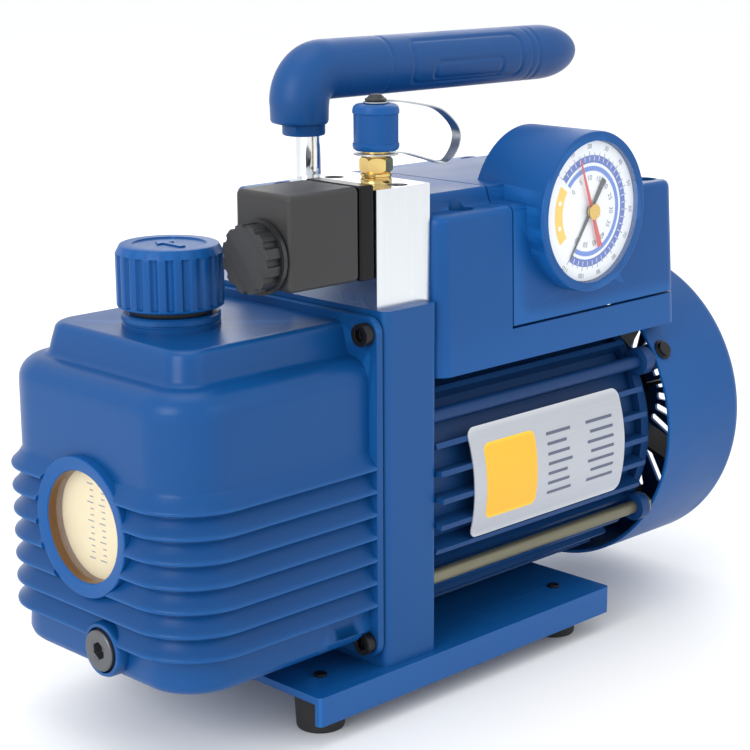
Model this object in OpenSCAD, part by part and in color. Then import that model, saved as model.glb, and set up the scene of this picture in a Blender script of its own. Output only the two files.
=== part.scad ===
// Single-stage rotary vane vacuum pump with a carrying handle, a vacuum gauge on its
// terminal box, a solenoid shut-off valve on the inlet and an oil tank with a sight glass.
// X runs along the shaft: the oil tank is at -X and the fan at +X. Z is up.
// The origin is on the floor, midway along the pump. Positions along X are written from
// the front face of the pump bracket and shifted to the origin by in_place().

/* [Base] */
// Distance from the bracket's face forward to the front of the base plate
base_front = 37.6; // [34:0.2:42]
// Distance from the bracket's face back to the rear of the base plate
base_back = 131.3; // [125:0.1:138]
// Half of the base plate's width
base_half = 62.4; // [61.5:0.1:64]
// Height of the base plate's top above the floor
base_top = 20; // [18:0.5:22]
// Height of the base plate's lips above the floor
lip_z = 8.5; // [7:0.5:10]
// Thickness of the base plate's sheet
sheet = 3; // [2:0.5:4]

/* [Bracket] */
// Depth of the pump bracket along the shaft
bracket_x = 27.7; // [26:0.1:30]
// Half of the bracket's width
bracket_half = 59.3; // [58:0.1:60]
// Height of the bracket's top
bracket_top = 159; // [157:0.5:161]
// Height of the shaft above the floor
shaft_z = 81; // [80:0.5:82]

/* [Oil tank] */
// Distance from the bracket's face to the tank's smooth front
tank_front = 93.1; // [91:0.1:95]
// Half of the tank's width between the ribs
tank_half = 54.2; // [53:0.1:55]
// How far the ribs stand out of the tank
rib_out = 4.4; // [3:0.1:4.6]
// Distance between ribs
rib_pitch = 8.96; // [8.8:0.01:9.1]
// Height of the top rib's middle
rib_top = 100.3; // [99:0.1:101]
// Height of the tank's floor
tank_z = 31; // [30:0.5:33]
// Height of the tank's shoulder
shoulder_z = 141.4; // [140:0.1:143]
// Height of the tank's raised top
tank_top = 153.7; // [152:0.1:155]
// Thickness of the tank's walls
tank_wall = 4; // [3:0.5:5]

/* [Oil filler] */
// Distance from the bracket's face to the filler's axis
cap_x = 51.9; // [50:0.1:54]
// Radius of the oil cap
cap_r = 19.7; // [19:0.1:20.5]
// Height of the top of the oil cap
cap_top = 184.1; // [182:0.1:186]

/* [Pump] */
// Radius of the pumping chamber
chamber_r = 24; // [23.5:0.1:24.5]
// How far the chamber sits below the shaft
chamber_drop = 3; // [2.9:0.1:3.1]
// Length of the chamber
chamber_x = 41; // [38:0.5:43]
// Radius of the shaft
shaft_r = 8; // [7.8:0.1:8.2]

/* [Motor] */
// Radius over the cooling fins
fin_r = 62.5; // [62:0.1:62.6]
// Number of cooling fins
fin_count = 36; // [30:1:40]
// Distance from the bracket's face to the rear of the motor housing
motor_back = 155; // [153:0.5:155.5]
// Radius of the fan cover
cover_r = 67.5; // [67.5:0.1:69]
// Distance from the bracket's face to the front of the fan cover
cover_front = 164; // [163:0.1:165]
// Distance from the bracket's face to the rear of the fan cover
cover_back = 218.5; // [217:0.1:220]

/* [Terminal box] */
// Distance from the bracket's face to the rear of the terminal box
box_back = 174.5; // [172:0.5:176]
// Half of the terminal box's width
box_half = 60.6; // [60:0.1:61]
// Height of the skirt's lower edge
skirt_z = 129; // [128:0.1:131]
// Height of the joint under the gauge panel
seam_z = 142.6; // [142.2:0.1:144]
// Height of the box's top edge
box_top = 190.6; // [189:0.1:192]
// Height of the raised part of the box's top
plateau_z = 197; // [195:0.5:198.5]

/* [Gauge] */
// Distance from the bracket's face to the gauge's axis
gauge_x = 109.6; // [108:0.1:111]
// Height of the gauge's axis
gauge_z = 184.6; // [184:0.1:186]
// Radius of the gauge's hood
hood_r = 32.2; // [31.8:0.1:32.5]
// Distance from the shaft plane to the front of the hood
hood_front = 67.3; // [67:0.1:67.4]

/* [Inlet] */
// Distance from the shaft plane to the inlet's axis
inlet_y = 40.3; // [39.8:0.1:40.8]
// Distance from the bracket's face to the inlet's axis
inlet_x = 14.2; // [13.7:0.1:14.7]
// Height of the inlet block's top
block_top = 203.4; // [202:0.1:205]
// Distance from the shaft plane to the solenoid's axis
coil_y = 40.2; // [39.8:0.1:40.6]
// Height of the solenoid's axis
coil_z = 182.7; // [182:0.1:183.5]

/* [Handle] */
// Distance from the bracket's face to the handle's upright
handle_x = 17.2; // [16.5:0.1:18]
// Height of the grip's axis
grip_z = 242; // [241:0.1:243]
// Radius of the grip
grip_r = 11.5; // [11.2:0.1:12]
// Distance from the bracket's face to the grip's tip
grip_tip = 173.5; // [165:0.1:180]

/* [Hidden] */
$fn = 64;
drain_face = 98.9;
drain_seat = 94.5;
ring_face = 96.7;
mid_x = (cover_back - drain_face) / 2;
rib_count = 7;
rib_h = 4.6;
corner_r = 21.7;
chamber_z = shaft_z - chamber_drop;
rotor_r = chamber_r - chamber_drop - 0.3;
running = 0.05;
rear_wall = 4;
cylinder_r = 40;
cylinder_x = chamber_x + rear_wall;
end_x = cylinder_x + 8;
pump_bolt = 24;
drain_y = -11.2;
drain_z = 42.3;
sight_z = 85.8;
sight_r = 26.2;
sight_bore = 20.9;
flange_x = 4;
flange_low = [-58.6, 24.5];
flange_high = [58.6, 157];
tank_bolt_y = 53.5;
tank_bolt_z = [30.6, 150.8];
foot_x = [-22, 114];
foot_y = 45.5;
foot_r = 9.2;
foot_top_r = 10.2;
anchor_x = [7, 20.7];
anchor_y = 40;
tie_y = 55;
tie_z = 32.6;
tie_r = 2.8;
cover_screw_x = 170;
cover_screws = [31.8, 148.2, 270];
bearing_r = 17.5;
front_bearing = [14, 25];
rear_bearing = [139, 150];
stator_x = [45, 125];
box_front = 28;
box_wall = 3;
split_x = 69;
floor_z = 152.5;
mount_r = 63.2;
box_screw_x = [50, 164];
box_screw_y = 50;
case_back = 36;
hood_back = 30.5;
well_r = 28.4;
case_front = 63.95;
dial_r = 28.1;
power_z = 170.5;
socket_y = -27;
rocker_y = -3;
rocker_tilt = 8;
block_screws = [[15.6, -50], [13.4, -18.4]];
block_low = [0, -54.9];
block_high = [27.7, -8.4];
suction_y = 34.5;
coil_span = [-41.3, -7.6];
coil_box_z = [170.8, 205.5];
cap_base = 215.5;
cap_head = 232.5;
tube_r = 4.8;
neck_x = 15;
neck_r = 8.3;
neck_z = 217.7;
stem_x = 12.9;
stem_r = 11.2;
stem_z = 222;
plate_low = [45, 61.7];
plate_high = [138.2, 105.8];

// ---- shared shapes ----

// Moves a piece from the bracket's face to the pump's own origin.
module in_place() {
    translate([-mid_x, 0, 0]) children();
}

// A rod along X between two positions, at the given y and z.
module rod_x(from, to, r, y = 0, z = 0) {
    translate([from, y, z]) rotate([0, 90, 0]) cylinder(h = to - from, r = r);
}

// A rod along Y between two positions, at the given x and z.
module rod_y(from, to, r, x = 0, z = 0) {
    translate([x, from, z]) rotate([-90, 0, 0]) cylinder(h = to - from, r = r);
}

// A ring along X.
module ring_x(from, to, outer, inner, y = 0, z = 0) {
    difference() {
        rod_x(from, to, outer, y, z);
        rod_x(from - 1, to + 1, inner, y, z);
    }
}

// A ring along Z.
module ring_z(from, to, outer, inner) {
    translate([0, 0, from]) difference() {
        cylinder(h = to - from, r = outer);
        translate([0, 0, -1]) cylinder(h = to - from + 2, r = inner);
    }
}

// A box given by its two opposite corners.
module block(low, high) {
    translate(low) cube(high - low);
}

// A flat rectangle from low to high with round corners.
module round_rect(low, high, r) {
    translate([low[0] + r, low[1]]) square([high[0] - low[0] - 2 * r, high[1] - low[1]]);
    translate([low[0], low[1] + r]) square([high[0] - low[0], high[1] - low[1] - 2 * r]);
    for (x = [low[0] + r, high[0] - r])
        for (y = [low[1] + r, high[1] - r])
            translate([x, y]) circle(r);
}

// A round-cornered plate standing across X, given in y and z.
module plate_x(from, to, low, high, r) {
    translate([from, 0, 0])
        rotate([90, 0, 90])
            linear_extrude(to - from) round_rect(low, high, r);
}

// A screw along X with its head towards -X and a hexagon socket.
module socket_screw(under_head, tip, r, head_r, head_h) {
    difference() {
        union() {
            rod_x(under_head - head_h, under_head, head_r);
            rod_x(under_head - 0.01, tip, r);
        }
        translate([under_head - head_h - 1, 0, 0])
            rotate([0, 90, 0]) cylinder(h = head_h * 0.6 + 1, r = r * 0.9, $fn = 6);
    }
}

module at_feet() {
    for (x = foot_x)
        for (side = [-1, 1])
            translate([x, side * foot_y, 0]) children();
}

module at_anchors() {
    for (x = anchor_x)
        for (side = [-1, 1])
            translate([x, side * anchor_y, 0]) children();
}

module at_tank_bolts() {
    for (side = [-1, 1])
        for (z = tank_bolt_z)
            translate([0, side * tank_bolt_y, z]) children();
}

module at_pump_bolts() {
    for (y = [-pump_bolt, pump_bolt])
        for (z = [-pump_bolt, pump_bolt])
            translate([0, y, chamber_z + z]) children();
}

module at_rods() {
    for (side = [-1, 1])
        for (z = [-tie_z, tie_z])
            translate([0, side * tie_y, shaft_z + z]) children();
}

module at_box_screws(x) {
    for (side = [-1, 1])
        translate([x, side * box_screw_y, 0]) children();
}

// ---- base ----

// A folded channel, open at both ends.
module base_plate() {
    color("steelblue") in_place() difference() {
        translate([0, 0, lip_z])
            linear_extrude(base_top - lip_z)
                round_rect([-base_front, -base_half], [base_back, base_half], 2);
        block([-base_front - 1, -base_half + sheet, lip_z - 1],
              [base_back + 1, base_half - sheet, base_top - sheet]);
        at_feet() cylinder(h = base_top + 1, r = 2.2);
        at_anchors() cylinder(h = base_top + 1, r = 2.2);
    }
}

module rubber_feet() {
    color("black") in_place() at_feet() difference() {
        cylinder(h = base_top - sheet, r1 = foot_r, r2 = foot_top_r);
        translate([0, 0, 5]) cylinder(h = base_top, r = 2);
    }
}

// Four screws hold the feet from above and four hold the bracket from below.
module base_screws() {
    color("black") in_place() {
        at_feet() {
            translate([0, 0, 5]) cylinder(h = base_top - 5, r = 2);
            translate([0, 0, base_top]) cylinder(h = 1, r = 2.6);
        }
        at_anchors() {
            translate([0, 0, base_top - sheet - 1.8]) cylinder(h = 1.8, r = 3.6);
            translate([0, 0, base_top - sheet]) cylinder(h = 14, r = 2);
        }
    }
}

// ---- bracket between the pump and the motor ----

module pump_bracket() {
    color("royalblue") in_place() difference() {
        translate([0, 0, base_top])
            linear_extrude(bracket_top - base_top)
                round_rect([0, -bracket_half], [bracket_x, bracket_half], 3);
        rod_x(-1, bracket_x + 1, shaft_r + 0.5, 0, shaft_z);
        rod_x(3, 11, 15, 0, shaft_z);
        rod_x(front_bearing[0], bracket_x + 1, bearing_r, 0, shaft_z);
        rod_x(9, front_bearing[0] + 1, 15, 0, shaft_z);
        at_tank_bolts() rod_x(-1, 9, 2.9);
        at_pump_bolts() rod_x(-1, 11, 2.4);
        at_rods() rod_x(bracket_x - 8, bracket_x + 1, tie_r);
        at_anchors() translate([0, 0, base_top - 1]) cylinder(h = 12, r = 2);
        // socket for the handle's tube
        translate([handle_x, 0, bracket_top - 24]) cylinder(h = 25, r = tube_r);
        // suction passage from the inlet block down, inward and forward to the pump
        translate([inlet_x, -inlet_y, shaft_z]) cylinder(h = 80, r = 3.5);
        rod_y(-inlet_y, -suction_y, 3.5, inlet_x, shaft_z + 3);
        rod_x(-1, inlet_x, 3.5, -suction_y, shaft_z + 3);
        for (p = block_screws)
            translate([p[0], p[1], bracket_top - 13]) cylinder(h = 14, r = 2.4);
    }
}

// ---- oil tank ----

// The tank's plan, square at the bracket and round at the front.
module tank_plan(grow, facets) {
    r = corner_r + grow;
    reach = tank_front + grow;
    half = tank_half + grow;
    translate([-reach + r, -half]) square([reach - r - 1, 2 * half]);
    translate([-reach, -half + r]) square([r + 1, 2 * (half - r)]);
    for (side = [-1, 1])
        translate([-reach + r, side * (half - r)]) circle(r, $fn = facets);
}

// A thin slice of the tank's plan at a height, drawn in by inset. Hulls of slices
// round the shoulder, the floor and the raised top.
module tank_slice(z, inset) {
    translate([0, 0, z]) linear_extrude(0.1) tank_plan(-inset, 32);
}

module tank_body() {
    hull() {
        tank_slice(tank_z, 5);
        tank_slice(tank_z + 5, 0);
        tank_slice(shoulder_z - 8, 0);
        tank_slice(shoulder_z - 3, 2);
        tank_slice(shoulder_z - 0.1, 7);
    }
}

module tank_plateau() {
    hull() {
        tank_slice(shoulder_z - 3, 11);
        tank_slice(tank_top - 3, 13);
        tank_slice(tank_top - 0.1, 15.5);
    }
}

module tank_ribs() {
    for (i = [0:rib_count - 1])
        translate([0, 0, rib_top - i * rib_pitch - rib_h / 2])
            linear_extrude(rib_h) tank_plan(rib_out, 64);
}

module oil_tank() {
    color("steelblue") in_place() difference() {
        union() {
            tank_body();
            tank_plateau();
            tank_ribs();
            plate_x(-flange_x, -1, flange_low, flange_high, 6);
            translate([-cap_x, 0, tank_top - 3]) cylinder(h = 159 - tank_top + 3, r = 18.2);
            rod_x(-97.6, -88, 10.2, drain_y, drain_z);
        }
        // oil space
        block([-tank_front + tank_wall, -tank_half + 12, tank_z + tank_wall],
              [0, tank_half - 12, shoulder_z - tank_wall]);
        block([-tank_front + 14, -tank_half + tank_wall, tank_z + tank_wall + 2],
              [0, tank_half - tank_wall, shoulder_z - 10]);
        block([-75, -34, shoulder_z - 6], [0, 34, tank_top - tank_wall]);
        translate([-cap_x, 0, tank_top - 10]) cylinder(h = 20, r = 14);
        // sight glass seat and drain
        rod_x(-tank_front - 5, -tank_front, sight_r + 0.1, 0, sight_z);
        rod_x(-tank_front - 1, -tank_front + 6, 24, 0, sight_z);
        rod_x(-drain_face, -80, 5.1, drain_y, drain_z);
        rod_x(-drain_face, -drain_seat, 8.6, drain_y, drain_z);
        at_tank_bolts() rod_x(-20, 0, 3.2);
        at_tank_bolts() rod_x(-30, -flange_x, 5.4);
    }
}

module tank_gasket() {
    color("dimgray") in_place() difference() {
        plate_x(-1, 0, flange_low + [1, 1], flange_high - [1, 1], 5);
        plate_x(-2, 1, [-43, 37], [43, 138], 8);
        at_tank_bolts() rod_x(-2, 1, 3.2);
    }
}

module tank_screws() {
    color("black") in_place() at_tank_bolts() socket_screw(-flange_x, 8, 2.9, 4.3, 4);
}

module sight_glass_ring() {
    color("royalblue") in_place() translate([0, 0, sight_z]) difference() {
        union() {
            rod_x(-ring_face, -tank_front, sight_r);
            rod_x(-tank_front - 0.01, -tank_front + 4, 24);
        }
        rod_x(-98, -80, sight_bore);
    }
}

module sight_glass() {
    color("lightyellow", 0.4) in_place() rod_x(-91.9, -89.9, sight_bore, 0, sight_z);
}

module oil_level_plate() {
    color("wheat") in_place() rod_x(-89.1, -88.3, 22, 0, sight_z);
}

module oil_cap() {
    color("royalblue") in_place() translate([-cap_x, 0, 0]) difference() {
        union() {
            translate([0, 0, 161.2]) cylinder(h = cap_top - 161.2 - 3, r = cap_r);
            translate([0, 0, cap_top - 3]) cylinder(h = 3, r1 = cap_r, r2 = cap_r - 3);
            translate([0, 0, 151.2]) cylinder(h = 10.1, r = 13.5);
        }
        for (i = [0:27])
            rotate([0, 0, i * 360 / 28])
                translate([cap_r + 0.3, 0, 163.5]) cylinder(h = 14.5, r = 1.2, $fn = 16);
        translate([0, 0, 150]) cylinder(h = 26, r = 10.5);
    }
}

module oil_cap_seal() {
    color("black") in_place() translate([-cap_x, 0, 0]) ring_z(159, 161.2, 16.2, 13.9);
}

module drain_plug() {
    color("gray") in_place() translate([0, drain_y, drain_z]) difference() {
        union() {
            rod_x(-drain_face, -drain_seat - 1, 7.7);
            rod_x(-drain_seat - 1.01, -88, 4.8);
        }
        translate([-drain_face - 1, 0, 0])
            rotate([0, 90, 0]) cylinder(h = 5, r = 3.4, $fn = 6);
    }
}

module drain_washer() {
    color("dimgray") in_place() 
        ring_x(-drain_seat - 1, -drain_seat, 8.2, 5.1, drain_y, drain_z);
}

// ---- pumping parts inside the tank ----

module pump_cylinder() {
    color("gray") in_place() difference() {
        rod_x(-cylinder_x, 0, cylinder_r, 0, chamber_z);
        rod_x(-cylinder_x - 1, -rear_wall, chamber_r, 0, chamber_z);
        rod_x(-rear_wall - 1, 1, shaft_r + running, 0, shaft_z);
        at_pump_bolts() rod_x(-cylinder_x - 1, 1, 2.6);
        // suction port, from the bracket into the chamber's side
        rod_x(-20, 1, 3.5, -suction_y, shaft_z + 3);
        rod_y(-suction_y, -18, 3.5, -20, shaft_z + 3);
        // flat and port for the exhaust valve
        block([-cylinder_x - 1, -18, chamber_z + 35], [1, 18, chamber_z + 45]);
        translate([-24, 8, chamber_z + 10]) cylinder(h = 30, r = 3);
        for (x = [-36, -12])
            translate([x, 8, chamber_z + 28]) cylinder(h = 10, r = 1.5);
    }
}

module pump_end_plate() {
    color("dimgray") in_place() difference() {
        rod_x(-end_x, -cylinder_x, cylinder_r, 0, chamber_z);
        rod_x(-end_x + 1, -cylinder_x + 1, shaft_r + running, 0, shaft_z);
        at_pump_bolts() rod_x(-end_x - 1, 1, 2.6);
        block([-end_x - 1, -18, chamber_z + 35], [1, 18, chamber_z + 45]);
    }
}

module pump_screws() {
    color("black") in_place() at_pump_bolts() socket_screw(-end_x, 10, 2.4, 4.2, 4.5);
}

// A spring-steel reed over the exhaust port, with a stop plate and two screws.
module exhaust_valve() {
    top = chamber_z + 35;
    color("silver") in_place() {
        difference() {
            block([-41, 3, top], [-7, 13, top + 0.4]);
            for (x = [-36, -12]) translate([x, 8, top - 1]) cylinder(h = 3, r = 1.5);
        }
        difference() {
            block([-41, 3.5, top + 0.4], [-7, 12.5, top + 2.4]);
            block([-31, 3, top + 0.3], [-17, 13, top + 1.6]);
            for (x = [-36, -12]) translate([x, 8, top - 1]) cylinder(h = 5, r = 1.5);
        }
        for (x = [-36, -12]) translate([x, 8, 0]) {
            translate([0, 0, top - 6]) cylinder(h = 8.4, r = 1.5);
            translate([0, 0, top + 2.4]) cylinder(h = 1.6, r = 2.8);
        }
    }
}

module pump_rotor() {
    color("gainsboro") in_place() difference() {
        rod_x(-cylinder_x + 0.15, -rear_wall - 0.15, rotor_r, 0, shaft_z);
        rod_x(-cylinder_x - 1, 0, shaft_r, 0, shaft_z);
        for (side = [-1, 1])
            translate([-cylinder_x - 1, side > 0 ? 9.4 : -rotor_r - 1, shaft_z - 2.1])
                cube([cylinder_x + 2, rotor_r - 8.4, 4.2]);
    }
}

module vane(side) {
    inner = 9.7;
    outer = rotor_r - 0.25;
    translate([-cylinder_x + 0.25, side > 0 ? inner : -outer, shaft_z - 2])
        cube([chamber_x - 0.5, outer - inner, 4]);
}

module vane_a() {
    color("peru") in_place() vane(1);
}

module vane_b() {
    color("peru") in_place() vane(-1);
}

// One shaft carries the pump rotor, the motor rotor and the fan.
module drive_shaft() {
    color("silver") in_place() rod_x(-end_x + 1.5, 205, shaft_r, 0, shaft_z);
}

module shaft_seal() {
    color("black") in_place() ring_x(3, 11, 15, shaft_r + running, 0, shaft_z);
}

module shaft_bearings() {
    color("silver") in_place() {
        ring_x(front_bearing[0], front_bearing[1], bearing_r, shaft_r + running, 0, shaft_z);
        ring_x(rear_bearing[0], rear_bearing[1], bearing_r, shaft_r + running, 0, shaft_z);
    }
}

// ---- motor ----

module motor_housing() {
    color("steelblue") in_place() difference() {
        union() {
            rod_x(bracket_x, motor_back, 55, 0, shaft_z);
            for (i = [0:fin_count - 1])
                translate([bracket_x, 0, shaft_z])
                    rotate([i * 360 / fin_count, 0, 0])
                        translate([0, 53, -1.1])
                            cube([motor_back - bracket_x, fin_r - 53, 2.2]);
            // pads that carry the terminal box
            for (x = [45, 115])
                block([x, -16, shaft_z + 51.5], [x + 15, 16, floor_z - box_wall]);
        }
        rod_x(bracket_x - 1, motor_back + 1, 51, 0, shaft_z);
        at_rods() rod_x(bracket_x - 1, motor_back + 1, 5);
        // flat along the bottom, clear of the base plate
        block([bracket_x - 1, -70, 0], [motor_back + 1, 70, base_top + 0.6]);
    }
}

module stator_core() {
    color("gray") in_place() ring_x(stator_x[0], stator_x[1], 51, 32.2, 0, shaft_z);
}

module stator_windings() {
    color("chocolate") in_place() {
        ring_x(stator_x[0] - 11, stator_x[0], 48, 34, 0, shaft_z);
        ring_x(stator_x[1], stator_x[1] + 11, 48, 34, 0, shaft_z);
    }
}

module motor_rotor() {
    color("silver") in_place() ring_x(stator_x[0] - 3, stator_x[1] + 3, 31.8, shaft_r, 0, shaft_z);
}

module motor_end_shield() {
    color("steelblue") in_place() difference() {
        union() {
            rod_x(motor_back, motor_back + 5, 59, 0, shaft_z);
            rod_x(rear_bearing[0] - 1, motor_back + 1, bearing_r + 4, 0, shaft_z);
            at_rods() rod_x(motor_back, motor_back + 5, 6);
            // arms that carry the fan cover
            for (a = cover_screws)
                translate([motor_back + 4, 0, shaft_z]) rotate([a, 0, 0]) {
                    translate([0, 51, -5]) cube([19, 8, 10]);
                    translate([7, 58, -5]) cube([12, cover_r - 1.6 - 58.3, 10]);
                }
        }
        rod_x(rear_bearing[0], rear_bearing[1], bearing_r, 0, shaft_z);
        rod_x(rear_bearing[0] - 2, motor_back + 9, shaft_r + 1, 0, shaft_z);
        at_rods() rod_x(motor_back - 1, motor_back + 9, tie_r + 0.1);
        at_cover_screws() cylinder(h = 12, r = 1.8);
    }
}

// Radial screw places of the fan cover, each along its own +Z from a radius of 56.
module at_cover_screws() {
    for (a = cover_screws)
        translate([cover_screw_x, 0, shaft_z])
            rotate([a - 90, 0, 0])
                translate([0, 0, 56]) children();
}

module tie_rods() {
    color("silver") in_place() at_rods() {
        rod_x(bracket_x - 7, motor_back + 8.5, tie_r);
        translate([motor_back + 5, 0, 0]) rotate([0, 90, 0]) difference() {
            cylinder(h = 3.5, r = 4.7, $fn = 6);
            translate([0, 0, -1]) cylinder(h = 6, r = tie_r - 0.1);
        }
    }
}

module cooling_fan() {
    color("black") in_place() difference() {
        union() {
            rod_x(184, 204, 13, 0, shaft_z);
            rod_x(184, 186, 40, 0, shaft_z);
            for (i = [0:8])
                translate([184, 0, shaft_z])
                    rotate([i * 40, 0, 0])
                        translate([0, 11, -0.8]) cube([18, 46, 1.6]);
        }
        rod_x(180, 210, shaft_r, 0, shaft_z);
    }
}

module fan_cover() {
    edge = 7;
    wall = 1.6;
    color("royalblue") in_place() difference() {
        translate([0, 0, shaft_z]) rotate([0, 90, 0]) rotate_extrude() difference() {
            union() {
                translate([0, cover_front]) square([cover_r, cover_back - edge - cover_front]);
                translate([0, cover_front]) square([cover_r - edge, cover_back - cover_front]);
                translate([cover_r - edge, cover_back - edge]) circle(edge);
            }
            translate([-1, cover_front - 1])
                square([cover_r - wall + 1, cover_back - edge - cover_front + 1]);
            translate([-1, cover_front - 1])
                square([cover_r - edge + 1, cover_back - wall - cover_front + 1]);
            translate([cover_r - edge, cover_back - edge]) circle(edge - wall);
            translate([-20, cover_front - 2]) square([20, 80]);
        }
        // grille
        for (i = [0:23])
            translate([cover_back - 4, 0, shaft_z])
                rotate([i * 15, 0, 0])
                    translate([0, 20, -1.6]) cube([6, 27, 3.2]);
        at_cover_screws() cylinder(h = 20, r = 2.2);
    }
}

module fan_cover_screws() {
    color("black") in_place() at_cover_screws() {
        translate([0, 0, 2]) cylinder(h = 9.6, r = 1.8);
        translate([0, 0, cover_r - 56]) cylinder(h = 0.8, r = 4.4);
        translate([0, 0, cover_r - 55.2]) cylinder(h = 1.4, r = 3.2);
    }
}

// ---- terminal box ----

// Cross-section of the raised top, in y and z.
module plateau_outline() {
    polygon([
        [-48, box_top - 1], [-46.5, plateau_z], [17, plateau_z],
        [50, box_top + 0.3], [50, box_top - 1]
    ]);
}

module plateau(from, to) {
    translate([from, 0, 0]) rotate([90, 0, 90]) linear_extrude(to - from) plateau_outline();
}

module box_shell(low, high, r) {
    translate([0, 0, low])
        linear_extrude(high - low)
            round_rect([box_front, -box_half], [box_back, box_half], r);
}

module terminal_box() {
    color("royalblue") in_place() difference() {
        union() {
            difference() {
                box_shell(skirt_z, box_top, 6);
                block([split_x, -80, seam_z], [200, 80, 220]);
                block([box_front + box_wall, -box_half + box_wall, floor_z],
                      [split_x + 1, box_half - box_wall, box_top - box_wall]);
                block([box_front + box_wall, -box_half + box_wall, skirt_z - 1],
                      [box_back - box_wall, box_half - box_wall, floor_z - box_wall]);
            }
            plateau(box_front + 6, split_x);
            // floor, with a low rim that the cover fits over
            block([split_x - 1, -box_half + box_wall, floor_z - box_wall],
                  [box_back - box_wall, box_half - box_wall, floor_z]);
            difference() {
                block([split_x - 1, -box_half + box_wall - 0.5, seam_z - 6],
                      [box_back - box_wall, box_half - box_wall + 0.5, floor_z]);
                block([0, -box_half + 2 * box_wall, 0], [200, box_half - 2 * box_wall, 200]);
            }
            at_box_screws(box_screw_x[0]) translate([0, 0, floor_z - 1])
                cylinder(h = box_top - floor_z, r = 6);
        }
        rod_x(0, 200, mount_r, 0, shaft_z);
        rod_x(cover_front - 2, 200, cover_r + 1, 0, shaft_z);
        at_box_screws(box_screw_x[0]) {
            translate([0, 0, box_top - 4]) cylinder(h = 6, r = 4);
            translate([0, 0, box_top - 20]) cylinder(h = 20, r = 1.9);
        }
    }
}

module box_cover() {
    color("royalblue") in_place() difference() {
        union() {
            difference() {
                union() {
                    difference() {
                        box_shell(seam_z, box_top, 6);
                        block([0, -80, seam_z - 1], [split_x, 80, 220]);
                    }
                    plateau(split_x, box_back - 6);
                    rod_y(-hood_front, -hood_back, hood_r, gauge_x, gauge_z);
                }
                block([split_x - 1, -box_half + box_wall - 0.5, seam_z - 1],
                      [box_back - box_wall, box_half - box_wall + 0.5, floor_z]);
                block([split_x + box_wall, -box_half + box_wall, floor_z - 1],
                      [box_back - box_wall, box_half - box_wall, box_top - box_wall]);
            }
            rod_y(-box_half, -case_back + 2, hood_r - 1, gauge_x, gauge_z);
            at_box_screws(box_screw_x[1]) translate([0, 0, floor_z])
                cylinder(h = box_top - floor_z - 1, r = 6);
        }
        // gauge well
        rod_y(-hood_front - 1, -case_back, well_r, gauge_x, gauge_z);
        rod_y(-case_back - 1, -20, 8, gauge_x, gauge_z);
        at_box_screws(box_screw_x[1]) {
            translate([0, 0, box_top - 4]) cylinder(h = 12, r = 4);
            translate([0, 0, box_top - 20]) cylinder(h = 20, r = 1.9);
        }
        block([box_back - 5, -42, 157], [box_back + 1, 5, 184]);
        rod_x(cover_front - 2, 200, cover_r + 1, 0, shaft_z);
    }
}

module box_screws() {
    color("black") in_place() for (x = box_screw_x) at_box_screws(x) {
        translate([0, 0, box_top - 4]) cylinder(h = 2.4, r = 3.5);
        translate([0, 0, box_top - 19]) cylinder(h = 15, r = 1.9);
    }
}

module run_capacitor() {
    color("whitesmoke") in_place() rod_x(82, 146, 16, 22, 169.6);
}

// Mains socket and switch bay in one moulding, with the socket's three blades.
module power_inlet() {
    color("black") in_place() {
        difference() {
            union() {
                plate_x(box_back, box_back + 2.5, [-46, 154.5], [9, 186.5], 3);
                block([154, -42, 157], [box_back, 5, 184]);
            }
            plate_x(157, box_back + 4,
                    [socket_y - 12.3, power_z - 8.7], [socket_y + 12.3, power_z + 8.7], 3);
            block([157, rocker_y - 6.6, power_z - 9.9], [box_back + 4, rocker_y + 6.6, power_z + 9.9]);
        }
        for (blade = [[-7, -1.5], [0, 2.5], [7, -1.5]])
            block([156.9, socket_y + blade[0] - 1, power_z + blade[1] - 2],
                  [box_back - 3, socket_y + blade[0] + 1, power_z + blade[1] + 2]);
    }
}

module rocker_switch() {
    color("black") in_place() {
        rod_y(rocker_y - 6.5, rocker_y + 6.5, 1.5, box_back - 1, power_z);
        translate([box_back - 1, rocker_y + 6.2, power_z])
            rotate([0, rocker_tilt, 0])
                rotate([90, 0, 0])
                    linear_extrude(12.4)
                        polygon([[-8, -4], [2.6, -9.2], [4.6, -9.2], [3, 0],
                                 [4.6, 9.2], [2.6, 9.2], [-8, 4]]);
    }
}

// ---- gauge ----

module gauge_case() {
    color("silver") in_place() difference() {
        rod_y(-case_front, -case_back, dial_r, gauge_x, gauge_z);
        rod_y(-70, -case_back - 1, dial_r - 1, gauge_x, gauge_z);
    }
}

module gauge_dial() {
    color("white") in_place() difference() {
        rod_y(-64.6, -64, dial_r, gauge_x, gauge_z);
        rod_y(-66, -60, 1.4, gauge_x, gauge_z);
    }
}

// A pointer in the plane of the dial: angle 0 points up and turns towards -X.
module pointer(angle, tip, tail, tip_w, tail_w, thick) {
    rotate([90, 0, 0]) rotate([0, 0, angle]) linear_extrude(thick) {
        polygon([[-tip_w, 0], [-tip_w / 3, tip], [tip_w / 3, tip], [tip_w, 0]]);
        polygon([[-tail_w / 2, 0], [-tail_w, -tail], [tail_w, -tail], [tail_w / 2, 0]]);
    }
}

module gauge_needle() {
    color("black") in_place() translate([gauge_x, 0, gauge_z]) {
        translate([0, -65, 0]) pointer(146, 21.6, 14.7, 0.9, 1.3, 0.3);
        rod_y(-65.4, -62, 1);
        rod_y(-65.5, -64.9, 2.4);
    }
}

module set_needle() {
    color("red") in_place() translate([gauge_x, 0, gauge_z]) {
        translate([0, -65.9, 0]) pointer(20, 22.3, 15.5, 0.9, 1.3, 0.3);
        rod_y(-67.2, -65.8, 1);
        rod_y(-67.5, -67.1, 3.2);
        rod_y(-66.3, -65.8, 2.6);
    }
}

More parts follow.
